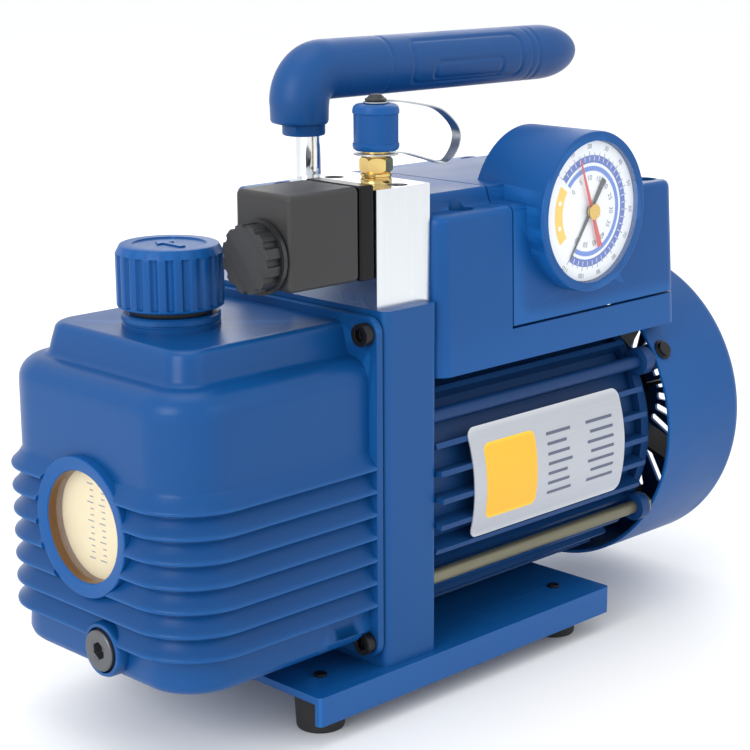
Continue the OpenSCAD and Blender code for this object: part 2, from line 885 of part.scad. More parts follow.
module gauge_lens() {
    color("white", 0.2) in_place() difference() {
        rod_y(-66.95, -66.55, well_r, gauge_x, gauge_z);
        rod_y(-70, -60, 1.3, gauge_x, gauge_z);
    }
}

// ---- inlet and shut-off valve ----

module inlet_block() {
    color("gainsboro") in_place() difference() {
        block([block_low[0], block_low[1], bracket_top],
              [block_high[0], block_high[1], block_top]);
        translate([inlet_x, -inlet_y, 150]) cylinder(h = 60, r = 3.5);
        translate([inlet_x, -inlet_y, block_top - 8]) cylinder(h = 9, r = 5);
        for (p = block_screws) translate([p[0], p[1], 0]) {
            translate([0, 0, 150]) cylinder(h = 60, r = 2.6);
            translate([0, 0, block_top - 11]) cylinder(h = 12, r = 3.8);
        }
        rod_x(-1, inlet_x, 3, -coil_y, coil_z);
    }
}

module inlet_block_screws() {
    color("black") in_place() for (p = block_screws) translate([p[0], p[1], 0]) difference() {
        union() {
            translate([0, 0, bracket_top - 12]) cylinder(h = block_top - bracket_top + 1, r = 2.4);
            translate([0, 0, block_top - 11]) cylinder(h = 5, r = 3.5);
        }
        translate([0, 0, block_top - 9]) cylinder(h = 5, r = 1.8, $fn = 6);
    }
}

module inlet_fitting() {
    color("goldenrod") in_place() translate([inlet_x, -inlet_y, 0]) difference() {
        union() {
            translate([0, 0, block_top - 8]) cylinder(h = 9, r = 5);
            translate([0, 0, block_top]) cylinder(h = 4, r = 5.9);
            translate([0, 0, block_top + 3.9]) cylinder(h = 5.6, r = 6.3, $fn = 6);
            translate([0, 0, block_top + 9]) cylinder(h = 15.4, r = 4.9);
        }
        translate([0, 0, block_top - 9]) cylinder(h = 40, r = 2.6);
    }
}

module inlet_cap() {
    color("royalblue") in_place() translate([inlet_x, -inlet_y, 0]) difference() {
        union() {
            translate([0, 0, cap_base]) cylinder(h = cap_head - cap_base - 1.5, r = 8.7);
            translate([0, 0, cap_head - 1.5]) cylinder(h = 1.5, r1 = 8.7, r2 = 7.2);
        }
        translate([0, 0, cap_base - 1]) cylinder(h = 15, r = 5.3);
        translate([0, 0, cap_base]) cylinder(h = 30, r = 1.9);
    }
}

module cap_rivet() {
    color("black") in_place() translate([inlet_x, -inlet_y, 0]) {
        translate([0, 0, 228.6]) cylinder(h = 0.7, r = 2.8);
        translate([0, 0, 229.2]) cylinder(h = 4.4, r = 1.5);
        translate([0, 0, 233.5]) cylinder(h = 1, r = 4);
        translate([0, 0, 234.4]) cylinder(h = 1.6, r1 = 3.6, r2 = 2);
    }
}

// The tether's path in x and z, from the ring under the cap round to the rivet on top.
strap_path = [
    [20, 214.2], [28.8, 213.1], [39.9, 210], [49.7, 207.6], [55.6, 211.7],
    [57.6, 217.4], [54.9, 222.6], [46.8, 228.3], [35.5, 231], [24.3, 232.8], [17.3, 233]
];

function unit(v) = v / norm(v);
function strap_normal(i) =
    let (before = strap_path[max(i - 1, 0)],
         after = strap_path[min(i + 1, len(strap_path) - 1)],
         along = unit(after - before))
    [-along[1], along[0]];
function strap_side(offset) =
    [for (i = [0:len(strap_path) - 1]) strap_path[i] + offset * strap_normal(i)];
function reversed(list) = [for (i = [len(list) - 1:-1:0]) list[i]];

module cap_strap() {
    color("silver") in_place() {
        translate([0, -inlet_y + 2.2, 0])
            rotate([90, 0, 0])
                linear_extrude(4.4) polygon(concat(strap_side(0.25), reversed(strap_side(-0.25))));
        translate([inlet_x, -inlet_y, 0]) ring_z(213.9, 214.5, 8.4, 5.1);
        translate([inlet_x, -inlet_y, 0]) ring_z(232.7, 233.3, 4.6, 1.7);
    }
}

module valve_body() {
    color("black") in_place() difference() {
        block([coil_span[1], -coil_y - 14, coil_box_z[0]], [-0.3, -coil_y + 15.5, coil_box_z[1]]);
        rod_x(coil_span[1] - 1, 1, 3, -coil_y, coil_z);
        rod_x(coil_span[1] - 1, -3.5, 6, -coil_y, coil_z);
    }
}

module solenoid_coil() {
    color("dimgray") in_place() difference() {
        block([coil_span[0], -coil_y - 14, coil_box_z[0]],
              [coil_span[1], -coil_y + 15.5, coil_box_z[1]]);
        rod_x(coil_span[0] - 1, coil_span[1] + 1, 6.05, -coil_y, coil_z);
    }
}

module armature_tube() {
    color("silver") in_place() difference() {
        rod_x(-48, -3.6, 6, -coil_y, coil_z);
        rod_x(-42, -3, 5.2, -coil_y, coil_z);
    }
}

module valve_plunger() {
    color("silver") in_place() rod_x(-34, -3.7, 5, -coil_y, coil_z);
}

module plunger_spring() {
    color("silver") in_place() ring_x(-41.9, -34.1, 4, 3, -coil_y, coil_z);
}

module coil_knob() {
    color("black") in_place() translate([0, -coil_y, coil_z]) difference() {
        union() {
            rod_x(-44, -42.4, 13.6);
            rod_x(-50.3, -43.9, 12.4);
        }
        for (i = [0:11])
            rotate([i * 30, 0, 0])
                translate([0, 12.9, 0]) rod_x(-51, -44, 1.6);
        rod_x(-48.6, -42, 6.3);
    }
}

module coil_washer() {
    color("silver") in_place() ring_x(coil_span[0] - 1, coil_span[0], 9.5, 6.3, -coil_y, coil_z);
}

// ---- handle ----

module handle_tube() {
    color("silver") in_place() translate([handle_x, 0, 0]) 
        ring_z(bracket_top - 24, 234, tube_r, tube_r - 1.2);
}

// The grip's bar: a rod along X with round ends.
module grip_bar(from, to) {
    translate([0, 0, grip_z]) rotate([0, 90, 0]) rotate_extrude() intersection() {
        union() {
            translate([0, from]) square([grip_r, to - from]);
            translate([0, from]) circle(grip_r);
            translate([0, to]) circle(grip_r);
        }
        translate([0, from - 2 * grip_r]) square([2 * grip_r, to - from + 4 * grip_r]);
    }
}

module handle_grip() {
    color("royalblue") in_place() difference() {
        union() {
            translate([neck_x, 0, neck_z]) cylinder(h = stem_z - neck_z + 1, r = neck_r);
            translate([stem_x, 0, stem_z]) cylinder(h = grip_z - stem_z, r = stem_r);
            grip_bar(10, grip_tip - grip_r);
        }
        translate([handle_x, 0, 200]) cylinder(h = 34, r = tube_r);
    }
}

// ---- plate ----

// A thin curved plate on the motor's fins.
module rating_plate() {
    color("whitesmoke") in_place() intersection() {
        ring_x(plate_low[0], plate_high[0], fin_r + 0.6, fin_r + 0.05, 0, shaft_z);
        block([plate_low[0], -80, plate_low[1]], [plate_high[0], -30, plate_high[1]]);
    }
}

base_plate();
rubber_feet();
base_screws();
pump_bracket();
tank_gasket();
oil_tank();
tank_screws();
sight_glass_ring();
sight_glass();
oil_level_plate();
oil_cap();
oil_cap_seal();
drain_plug();
drain_washer();
pump_cylinder();
pump_end_plate();
pump_screws();
exhaust_valve();
pump_rotor();
vane_a();
vane_b();
drive_shaft();
shaft_seal();
shaft_bearings();
motor_housing();
motor_end_shield();
stator_core();
stator_windings();
motor_rotor();
tie_rods();
cooling_fan();
fan_cover();
fan_cover_screws();
terminal_box();
box_cover();
box_screws();
run_capacitor();
power_inlet();
rocker_switch();
gauge_case();
gauge_dial();
gauge_needle();
set_needle();
gauge_lens();
inlet_block();
inlet_block_screws();
inlet_fitting();
inlet_cap();
cap_rivet();
cap_strap();
valve_body();
solenoid_coil();
armature_tube();
valve_plunger();
plunger_spring();
coil_knob();
coil_washer();
handle_tube();
handle_grip();
rating_plate();
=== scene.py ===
"""Looks of a rotary vane vacuum pump, built around its CAD frame.

X runs along the shaft from the oil tank (-X) to the fan (+X) and Z is up. The shapes below
are written in millimetres from the pump bracket's front face and moved to the frame by at().
"""

import math

import bmesh
import bpy
from mathutils import Matrix, Vector


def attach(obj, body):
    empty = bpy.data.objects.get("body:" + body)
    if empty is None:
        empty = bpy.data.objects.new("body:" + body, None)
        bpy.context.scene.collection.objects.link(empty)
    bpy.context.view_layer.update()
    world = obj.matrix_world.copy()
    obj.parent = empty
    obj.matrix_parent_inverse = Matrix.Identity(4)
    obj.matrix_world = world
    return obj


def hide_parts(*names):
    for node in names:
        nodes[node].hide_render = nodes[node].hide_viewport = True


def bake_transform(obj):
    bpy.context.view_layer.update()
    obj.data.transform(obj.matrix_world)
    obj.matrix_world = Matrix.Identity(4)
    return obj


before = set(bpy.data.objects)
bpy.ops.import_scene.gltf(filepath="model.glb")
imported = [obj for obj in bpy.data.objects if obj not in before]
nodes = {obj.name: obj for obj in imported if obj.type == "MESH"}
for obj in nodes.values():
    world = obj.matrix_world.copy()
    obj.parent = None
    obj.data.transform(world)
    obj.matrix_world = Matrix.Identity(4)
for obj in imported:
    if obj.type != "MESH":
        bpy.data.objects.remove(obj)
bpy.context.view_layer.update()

MM = 0.001
MID_X = 59.8
SHAFT_Z = 81
TAU = 2 * math.pi


# ---- points and meshes ----

def at(x, y, z):
    """A point in mm from the bracket's face, as a point of the frame in metres."""
    return Vector(((x - MID_X) * MM, y * MM, z * MM))


def mesh_object(name, points, faces, angle=38):
    """A mesh object from points in mm, with outward normals and edges sharp over an angle."""
    mesh = bpy.data.meshes.new(name)
    mesh.from_pydata([at(*p) for p in points], [], faces)
    obj = bpy.data.objects.new(name, mesh)
    bpy.context.scene.collection.objects.link(obj)
    tidy_mesh(obj, angle)
    return obj


def tidy_mesh(obj, angle=38):
    """Merges doubled points, turns the faces outwards and shades smooth up to an angle."""
    bm = bmesh.new()
    bm.from_mesh(obj.data)
    bmesh.ops.remove_doubles(bm, verts=bm.verts, dist=2e-6)
    bmesh.ops.dissolve_degenerate(bm, edges=bm.edges, dist=1e-6)
    bmesh.ops.recalc_face_normals(bm, faces=bm.faces)
    bm.to_mesh(obj.data)
    bm.free()
    obj.data.shade_smooth()
    obj.data.set_sharp_from_angle(angle=math.radians(angle))


def ring_faces(ring_count, n, closed_rings=False):
    """Quads between rings of n points each."""
    faces = []
    last = ring_count if closed_rings else ring_count - 1
    for k in range(last):
        a, b = k * n, ((k + 1) % ring_count) * n
        for i in range(n):
            j = (i + 1) % n
            faces.append((a + i, a + j, b + j, b + i))
    return faces


def loft(name, rings, angle=38):
    """A closed solid through rings of equal point counts, with flat ends."""
    n = len(rings[0])
    points = [p for ring in rings for p in ring]
    faces = ring_faces(len(rings), n)
    faces.append(tuple(range(n)))
    faces.append(tuple(range((len(rings) - 1) * n, len(rings) * n)))
    return mesh_object(name, points, faces, angle)


def lathe(name, profile, centre, axis="z", steps=64, closed=False, radius=None, angle=38):
    """A solid of revolution. The profile is a list of (radius, height) pairs in mm.
    closed joins its last pair to its first. radius(turn, r, h) may change a radius."""
    points = []
    for r, h in profile:
        for i in range(steps):
            turn = TAU * i / steps
            reach = radius(turn, r, h) if radius else r
            u, v = reach * math.cos(turn), reach * math.sin(turn)
            offset = {"x": (h, u, v), "y": (u, h, v), "z": (u, v, h)}[axis]
            points.append(tuple(c + o for c, o in zip(centre, offset)))
    faces = ring_faces(len(profile), steps, closed)
    if not closed:
        faces.append(tuple(range(steps)))
        faces.append(tuple(range((len(profile) - 1) * steps, len(profile) * steps)))
    return mesh_object(name, points, faces, angle)


def rounded(low, high, r, steps=4):
    """A closed outline of a rounded rectangle, as (u, v) pairs."""
    outline = []
    corners = ((high[0] - r, high[1] - r, 0), (low[0] + r, high[1] - r, 1),
               (low[0] + r, low[1] + r, 2), (high[0] - r, low[1] + r, 3))
    for cu, cv, quarter in corners:
        for i in range(steps + 1):
            a = (quarter + i / steps) * math.pi / 2
            outline.append((cu + r * math.cos(a), cv + r * math.sin(a)))
    return outline


def prism(name, outline, low, high, axis="z", angle=38):
    """An outline of (u, v) pairs pushed along an axis from low to high."""
    order = {"x": lambda u, v, h: (h, u, v), "y": lambda u, v, h: (u, h, v),
             "z": lambda u, v, h: (u, v, h)}[axis]
    return loft(name, [[order(u, v, h) for u, v in outline] for h in (low, high)], angle)


def block(name, low, high, r=0.01, axis="z"):
    """A box between two corners, with rounded edges along one axis."""
    u, v, h = {"x": (1, 2, 0), "y": (0, 2, 1), "z": (0, 1, 2)}[axis]
    return prism(name, rounded((low[u], low[v]), (high[u], high[v]), r), low[h], high[h], axis)


def polygon_ring(sides, r, turn=0):
    """Corners of a regular polygon of circumradius r."""
    return [(r * math.cos(TAU * i / sides + turn), r * math.sin(TAU * i / sides + turn))
            for i in range(sides)]


def rounding(end, inner, r, steps=4):
    """Pairs (inset, distance) of a quarter round of radius r at an end of a profile."""
    side = 1 if end < inner else -1
    pairs = []
    for i in range(steps + 1):
        a = math.pi / 2 * i / steps
        pairs.append((r * (1 - math.sin(a)), end + side * r * (1 - math.cos(a))))
    return pairs


def baked(obj):
    """Applies an object's modifiers to its mesh."""
    depsgraph = bpy.context.evaluated_depsgraph_get()
    mesh = bpy.data.meshes.new_from_object(obj.evaluated_get(depsgraph))
    obj.modifiers.clear()
    obj.data = mesh


def combine(obj, others, operation, angle=38):
    """Adds, cuts or intersects obj with other solids, which are used up."""
    for other in others:
        modifier = obj.modifiers.new("combine", "BOOLEAN")
        modifier.operation = operation
        modifier.solver = "EXACT"
        modifier.object = other
        baked(obj)
        bpy.data.objects.remove(other)
    tidy_mesh(obj, angle)
    return obj


def joined(name, parts):
    """Several mesh objects as one."""
    bm = bmesh.new()
    for part in parts:
        bm.from_mesh(part.data)
        bpy.data.objects.remove(part)
    mesh = bpy.data.meshes.new(name)
    bm.to_mesh(mesh)
    bm.free()
    obj = bpy.data.objects.new(name, mesh)
    bpy.context.scene.collection.objects.link(obj)
    return obj


def bevel(obj, width, segments=2, angle=40):
    """Rounds the edges that are sharper than an angle. The width is in mm."""
    modifier = obj.modifiers.new("bevel", "BEVEL")
    modifier.width = width * MM
    modifier.segments = segments
    modifier.limit_method = "ANGLE"
    modifier.angle_limit = math.radians(angle)
    modifier.use_clamp_overlap = True
    modifier.miter_outer = "MITER_ARC"
    return even_normals(obj)


def even_normals(obj):
    """Lets the large faces decide the shading, so that flat faces look flat."""
    normals = obj.modifiers.new("normals", "WEIGHTED_NORMAL")
    normals.keep_sharp = True
    normals.weight = 60
    return obj


def round_block(name, low, high, r):
    """A box between two corners along X with all its edges rounded."""
    rings = []
    for inset, x in rounding(low[0], high[0], r) + rounding(high[0], low[0], r)[::-1]:
        near = (low[1] + inset, low[2] + inset)
        far = (high[1] - inset, high[2] - inset)
        outline = rounded(near, far, r - inset + 0.02)
        rings.append([(x, u, v) for u, v in outline])
    return loft(name, rings, 50)


def dress(obj, body, material, replaced=()):
    """Gives a piece its material, the body it rides on and the CAD nodes it stands for."""
    obj.data.materials.clear()
    obj.data.materials.append(material)
    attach(obj, body)
    if replaced:
        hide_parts(*replaced)
    return obj


def soften(node, width, body, material, angle=30, segments=2):
    """A copy of a CAD node with its edges rounded by a width in mm. It stands for the node."""
    source = nodes[node].data
    mesh = bpy.data.meshes.new(node + "_shape")
    mesh.from_pydata([v.co for v in source.vertices], [], [list(p.vertices) for p in source.polygons])
    obj = bpy.data.objects.new(node + "_shape", mesh)
    bpy.context.scene.collection.objects.link(obj)
    bm = bmesh.new()
    bm.from_mesh(mesh)
    bmesh.ops.remove_doubles(bm, verts=bm.verts, dist=2e-6)
    bmesh.ops.dissolve_limit(
        bm, angle_limit=math.radians(1), verts=bm.verts, edges=bm.edges, delimit={"NORMAL"}
    )
    bmesh.ops.recalc_face_normals(bm, faces=bm.faces)
    bm.to_mesh(mesh)
    bm.free()
    mesh.shade_smooth()
    mesh.set_sharp_from_angle(angle=math.radians(angle))
    if width:
        bevel(obj, width, segments, angle)
    return dress(obj, body, material, [node])


# ---- materials ----

def linear(rgb, gain=1.0):
    """An 8-bit sRGB colour as a linear colour with alpha."""
    values = []
    for c in rgb:
        c = c / 255
        c = c / 12.92 if c <= 0.04045 else ((c + 0.055) / 1.055) ** 2.4
        values.append(min(c * gain, 1))
    return (*values, 1)


def surface(name, rgb, rough, metallic=0.0, mottle=0.08, mottle_scale=25, grain=1400, depth=0.03,
            relief=0.12, stretch=(1, 1, 1), wear_and_highlight=0.25, rough_spread=0.06, coat=0.0,
            specular=0.5, sheen=0.0, alpha=1.0):
    """A procedural material: uneven colour, fine grain in colour and relief, uneven gloss
    and lighter edges, partly wear and partly a painted highlight along the edges.
    Scales are per metre and depth is in mm."""
    material = bpy.data.materials.new(name)
    material.use_nodes = True
    tree = material.node_tree
    tree.nodes.clear()

    def node(kind, **inputs):
        made = tree.nodes.new(kind)
        for key, value in inputs.items():
            made.inputs[key.replace("_", " ")].default_value = value
        return made

    def link(a, out, b, into):
        tree.links.new(a.outputs[out], b.inputs[into])

    output = node("ShaderNodeOutputMaterial")
    shader = node("ShaderNodeBsdfPrincipled", Metallic=metallic)
    shader.inputs["Coat Weight"].default_value = coat
    shader.inputs["Coat Roughness"].default_value = 0.12
    shader.inputs["Specular IOR Level"].default_value = specular
    shader.inputs["Alpha"].default_value = alpha
    shader.inputs["Sheen Weight"].default_value = sheen
    link(shader, "BSDF", output, "Surface")

    place = node("ShaderNodeTexCoord")
    scaled = node("ShaderNodeMapping", Scale=stretch)
    link(place, "Object", scaled, "Vector")
    broad = node("ShaderNodeTexNoise", Scale=mottle_scale, Detail=4.0)
    fine = node("ShaderNodeTexNoise", Scale=grain, Detail=3.0)
    link(place, "Object", broad, "Vector")
    link(scaled, "Vector", fine, "Vector")

    tint = node("ShaderNodeMixRGB", Color1=linear(rgb, 1 - mottle), Color2=linear(rgb, 1 + mottle))
    link(broad, "Fac", tint, "Fac")
    speckle = node("ShaderNodeMixRGB", Color2=linear(rgb, 1 + 2.2 * mottle))
    fleck = node("ShaderNodeMapRange", From_Min=0.45, From_Max=0.75, To_Min=0.0, To_Max=0.5)
    link(fine, "Fac", fleck, "Value")
    link(fleck, "Result", speckle, "Fac")
    link(tint, "Color", speckle, "Color1")

    # Lighter colour on sharp edges, found by pointiness: partly edge wear, partly a painted highlight
    # along edges and rims.
    geometry = node("ShaderNodeNewGeometry")
    edge = node("ShaderNodeMapRange", From_Min=0.515, From_Max=0.60, To_Min=0.0, To_Max=wear_and_highlight)
    link(geometry, "Pointiness", edge, "Value")
    worn_and_highlit = node("ShaderNodeMixRGB", Color2=linear([min(c * 1.25 + 26, 255) for c in rgb]))
    link(edge, "Result", worn_and_highlit, "Fac")
    link(speckle, "Color", worn_and_highlit, "Color1")
    link(worn_and_highlit, "Color", shader, "Base Color")

    gloss = node("ShaderNodeMapRange", From_Min=0.3, From_Max=0.7,
                 To_Min=max(rough - rough_spread, 0.02), To_Max=min(rough + rough_spread, 1.0))
    link(broad, "Fac", gloss, "Value")
    link(gloss, "Result", shader, "Roughness")

    bump = node("ShaderNodeBump", Strength=relief, Distance=depth * MM)
    link(fine, "Fac", bump, "Height")
    link(bump, "Normal", shader, "Normal")
    return material


PAINT = surface("paint_blue", (8, 68, 126), 0.34, mottle=0.06, depth=0.06, relief=0.35, specular=0.22)
BOX_BLUE = surface("plastic_blue", (8, 72, 134), 0.38, mottle=0.05, grain=2600, depth=0.05,
                   relief=0.3, specular=0.2)
STEEL_BLUE = surface("steel_blue", (12, 78, 142), 0.36, mottle=0.05, grain=900, depth=0.08, relief=0.3,
                     specular=0.3)
FIN_BLUE = surface("cast_blue", (8, 50, 98), 0.45, mottle=0.10, grain=1100, depth=0.1, relief=0.4,
                   specular=0.22)
GRIP_BLUE = surface("grip_blue", (10, 68, 126), 0.42, mottle=0.05, grain=3000, depth=0.06, relief=0.4,
                    specular=0.25)
ROD_OLIVE = surface("rod_olive", (112, 110, 92), 0.42, metallic=0.6, mottle=0.12, grain=900,
                    stretch=(0.05, 1, 1), depth=0.04, relief=0.3)
RUBBER = surface("rubber_black", (24, 24, 26), 0.7, mottle=0.15, grain=1800, depth=0.08, relief=0.4)
OXIDE = surface("screw_black", (28, 28, 31), 0.36, metallic=0.7, mottle=0.12, depth=0.03, wear_and_highlight=0.5)
BLACK_PLASTIC = surface("plastic_black", (22, 23, 25), 0.42, mottle=0.10, grain=2400, depth=0.05,
                        relief=0.3)
COIL_GREY = surface("coil_grey", (46, 46, 47), 0.45, specular=0.3, mottle=0.08, grain=2200,
                    depth=0.07, relief=0.4)
GLOSS_BLACK = surface("valve_black", (7, 7, 8), 0.24, mottle=0.1, depth=0.02, specular=0.2, wear_and_highlight=0.05)
BRIGHT = surface("aluminium_bright", (214, 218, 222), 0.24, metallic=1.0, mottle=0.04, grain=900,
                 stretch=(1, 1, 0.02), depth=0.02, relief=0.35, wear_and_highlight=0.1)
CAST = surface("cast_grey", (120, 124, 126), 0.55, metallic=0.6, mottle=0.12, grain=700, depth=0.15,
               relief=0.5)
STEEL = surface("steel_plain", (168, 172, 176), 0.3, metallic=1.0, mottle=0.06, grain=1300,
                depth=0.02, wear_and_highlight=0.2)
CHROME = surface("chrome", (222, 226, 230), 0.08, metallic=1.0, mottle=0.02, depth=0.005, wear_and_highlight=0.05,
                 rough_spread=0.02)
BRASS = surface("brass", (216, 182, 116), 0.26, metallic=1.0, mottle=0.08, grain=1500, depth=0.02,
                wear_and_highlight=0.3)
COPPER = surface("copper_wire", (176, 96, 48), 0.35, metallic=0.9, mottle=0.12, grain=260,
                 depth=0.4, relief=0.8)
GLASS = surface("clear_glass", (236, 242, 246), 0.05, mottle=0.01, depth=0.002, wear_and_highlight=0.0,
                alpha=0.08, rough_spread=0.02)
DIAL_WHITE = surface("dial_white", (232, 236, 240), 0.45, mottle=0.02, depth=0.01)
CREAM = surface("plate_cream", (206, 184, 146), 0.5, mottle=0.06, depth=0.01)
LABEL = surface("label_silver", (178, 182, 190), 0.36, metallic=0.5, mottle=0.04, grain=1200,
                stretch=(0.05, 1, 1), depth=0.01)
RED = surface("paint_red", (196, 30, 34), 0.4, mottle=0.06, depth=0.01)
INK = surface("ink_black", (24, 24, 28), 0.5, mottle=0.05, depth=0.01)
DIAL_BLUE = surface("ink_blue", (38, 74, 158), 0.45, mottle=0.04, depth=0.01)
DIAL_SKY = surface("ink_sky", (58, 104, 184), 0.45, mottle=0.04, depth=0.01)
YELLOW = surface("ink_yellow", (240, 178, 38), 0.4, mottle=0.04, depth=0.01)
BAR_GREY = surface("ink_grey", (84, 90, 112), 0.45, mottle=0.04, depth=0.01)
GASKET = surface("gasket_fibre", (34, 38, 40), 0.8, mottle=0.2, grain=900, depth=0.1, relief=0.5)
CARBON = surface("vane_carbon", (52, 46, 42), 0.4, mottle=0.15, grain=2000, depth=0.03)
WHITE_PLASTIC = surface("plastic_white", (226, 226, 220), 0.4, mottle=0.04, depth=0.03)
PLUG_GREY = surface("plug_grey", (92, 94, 98), 0.4, metallic=0.8, mottle=0.1, depth=0.05, relief=0.3)
PAINTED_REFLECTION_AMBER = surface("bore_painted_reflection", (96, 66, 36), 0.35, metallic=0.3, mottle=0.12, depth=0.03)


# ---- oil tank ----

TANK_FRONT = 93.1
TANK_HALF = 54.2
CORNER = 21.7
SIGHT_Z = 85.8
DRAIN = (-11.2, 42.3)
CAP_X = -51.9
TANK_TOP = 153.7
BOLTS = [(side * 53.5, z) for side in (-1, 1) for z in (30.6, 150.8)]


def tank_ring(z, grow):
    """The tank's plan at a height: along one side, round the front and back to the bracket."""
    r = max(CORNER + grow, 10)
    reach, half = TANK_FRONT + grow, TANK_HALF + grow
    left, straight = -reach + r, half - r
    ring = [(-1 + (left + 1) * i / 12, -half, z) for i in range(12)]
    for i in range(14):
        a = math.pi / 2 * i / 14
        ring.append((left - r * math.sin(a), -straight - r * math.cos(a), z))
    ring += [(-reach, -straight + 2 * straight * i / 12, z) for i in range(12)]
    for i in range(14):
        a = math.pi / 2 * i / 14
        ring.append((left - r * math.cos(a), straight + r * math.sin(a), z))
    ring += [(left - (left + 1) * i / 12, half, z) for i in range(13)]
    return ring


def tank_profile():
    """Heights and how far the wall stands out there, from the floor to the raised top."""
    profile = [(31, -5), (31.7, -2.6), (33.2, -0.9), (35.5, 0)]
    pitch, out, top = 8.96, 4.4, 100.3
    for i in reversed(range(7)):
        crest = top - i * pitch
        for share, stand in ((-0.26, -0.12), (-0.17, -0.12), (-0.14, 0.3), (-0.11, 0.8), (-0.06, 0.98),
                             (0.02, 1.0), (0.08, 0.94), (0.16, 0.76), (0.27, 0.54), (0.4, 0.33),
                             (0.54, 0.14), (0.66, -0.02)):
            profile.append((crest + share * pitch, out * stand))
    profile += [(108, 0), (118, 0), (131, 0)]
    for i in range(1, 9):
        a = math.pi / 2 * i / 8
        profile.append((132.4 + 9 * math.sin(a), -9 * (1 - math.cos(a))))
    profile += [(141.7, -10.2), (142.5, -11.2), (143.8, -11.8), (147, -12.4), (150.2, -13.1)]
    for i in range(1, 6):
        a = math.pi / 2 * i / 5
        profile.append((150.9 + 2.8 * math.sin(a), -13.3 - 2.8 * (1 - math.cos(a))))
    return profile


def rod_x(name, low, high, r, y, z, steps=48):
    """A rod along X at the given y and z."""
    return prism(name, [(y + u, z + v) for u, v in polygon_ring(steps, r)], low, high, "x")


def build_tank():
    """The ribbed tank with its filler neck, screw bosses, sight glass seat and drain boss."""
    tank = loft("oil_tank_shape", [tank_ring(z, grow) for z, grow in tank_profile()])
    collar = [(18.2, TANK_TOP - 2), (18.2, 155.4), (17.7, 155.7), (17.7, 156.3), (18.2, 156.6),
              (18.2, 158.4), (17.6, 159), (14, 159), (14, 145)]
    neck = lathe("neck", collar, (CAP_X, 0, 0), "z", 64)
    flange = prism("flange", rounded((-58.6, 24.5), (58.6, 157), 6, 6), -4, -1, "x")
    drain_boss = lathe("drain_boss", [(10.5, -86), (10.3, -96.6), (9.8, -97.6), (5, -97.6)],
                       (0, *DRAIN), "x", 48)
    combine(tank, [neck, drain_boss, flange], "UNION")
    cuts = [
        rod_x("cut", -99, -TANK_FRONT, 26.35, 0, SIGHT_Z, 96),
        rod_x("cut", -TANK_FRONT - 1, -87.8, 24.1, 0, SIGHT_Z, 96),
        rod_x("cut", -100, -94.5, 8.6, *DRAIN),
        rod_x("cut", -98, -80, 5.2, *DRAIN),
        lathe("cut", [(14.2, 140), (14.2, 162)], (CAP_X, 0, 0), "z", 48),
    ]
    cuts += [rod_x("cut", -26, -4, 5.4, *bolt) for bolt in BOLTS]
    cuts += [rod_x("cut", -9, 1, 3.2, *bolt, 24) for bolt in BOLTS]
    inside = [tank_ring(z, grow)
              for z, grow in ((35, -6), (128, -6), (136, -12), (141, -18), (149, -20))]
    hollow = loft("hollow",
                  [[(x + (3 if x > -2 else 0), y, z) for x, y, z in ring] for ring in inside])
    combine(tank, cuts + [hollow], "DIFFERENCE")
    bevel(tank, 0.5, 2, 42)
    dress(tank, "frame", PAINT, ["oil_tank"])


build_tank()

ring = lathe("sight_glass_ring_shape",
             [(23.9, -89.2), (20.9, -89.2), (20.9, -95.3), (21.2, -95.7), (25.3, -96.6), (25.9, -96.6),
              (26.2, -96.2), (26.2, -93.15), (23.9, -93.1)],
             (0, 0, SIGHT_Z), "x", 128, closed=True, angle=30)
dress(ring, "frame", BOX_BLUE, ["sight_glass_ring"])
# The inner wall of the ring's bore is coloured amber: a painted reflection on the blue ring.
ring.data.materials.append(PAINTED_REFLECTION_AMBER)
for face in ring.data.polygons:
    across = math.hypot(face.center.y, face.center.z - SIGHT_Z * MM)
    if across < 21.0 * MM:
        face.material_index = 1

level_plate = lathe("oil_level_plate_shape",
                    [(0.01, -89.05), (21.9, -89.05), (21.9, -88.35), (0.01, -88.35)],
                    (0, 0, SIGHT_Z), "x", 96)
dress(level_plate, "frame", CREAM, ["oil_level_plate"])


def tick_marks():
    """Two columns of small level marks, raised a little on the plate behind the glass."""
    points, faces = [], []
    for column in (-5.4, 1.4):
        for k in range(13):
            z = SIGHT_Z - 14 + k * 2.35
            length = 3.6 if k % 3 == 0 else 2.0
            for x in (-89.12, -89.0):
                points += [(x, column, z), (x, column + length, z),
                           (x, column + length, z + 0.45), (x, column, z + 0.45)]
            b = len(points) - 8
            faces += [(b, b + 1, b + 2, b + 3), (b + 7, b + 6, b + 5, b + 4)]
            faces += [(b + i, b + (i + 1) % 4, b + 4 + (i + 1) % 4, b + 4 + i) for i in range(4)]
    return mesh_object("oil_level_marks", points, faces)


dress(tick_marks(), "frame", BAR_GREY)


# ---- oil cap and drain ----

GROOVES = 21


def cap_radius(turn, r, h):
    """Grooves down the cap's side, as wide as the ridges between them."""
    if r < 19.65 or not 162.4 < h < 181:
        return r
    phase = (turn * GROOVES / TAU) % 1
    depth = max(0.0, 1 - abs(phase - 0.5) / 0.27)
    return r - 1.3 * min(1, depth * 1.9)


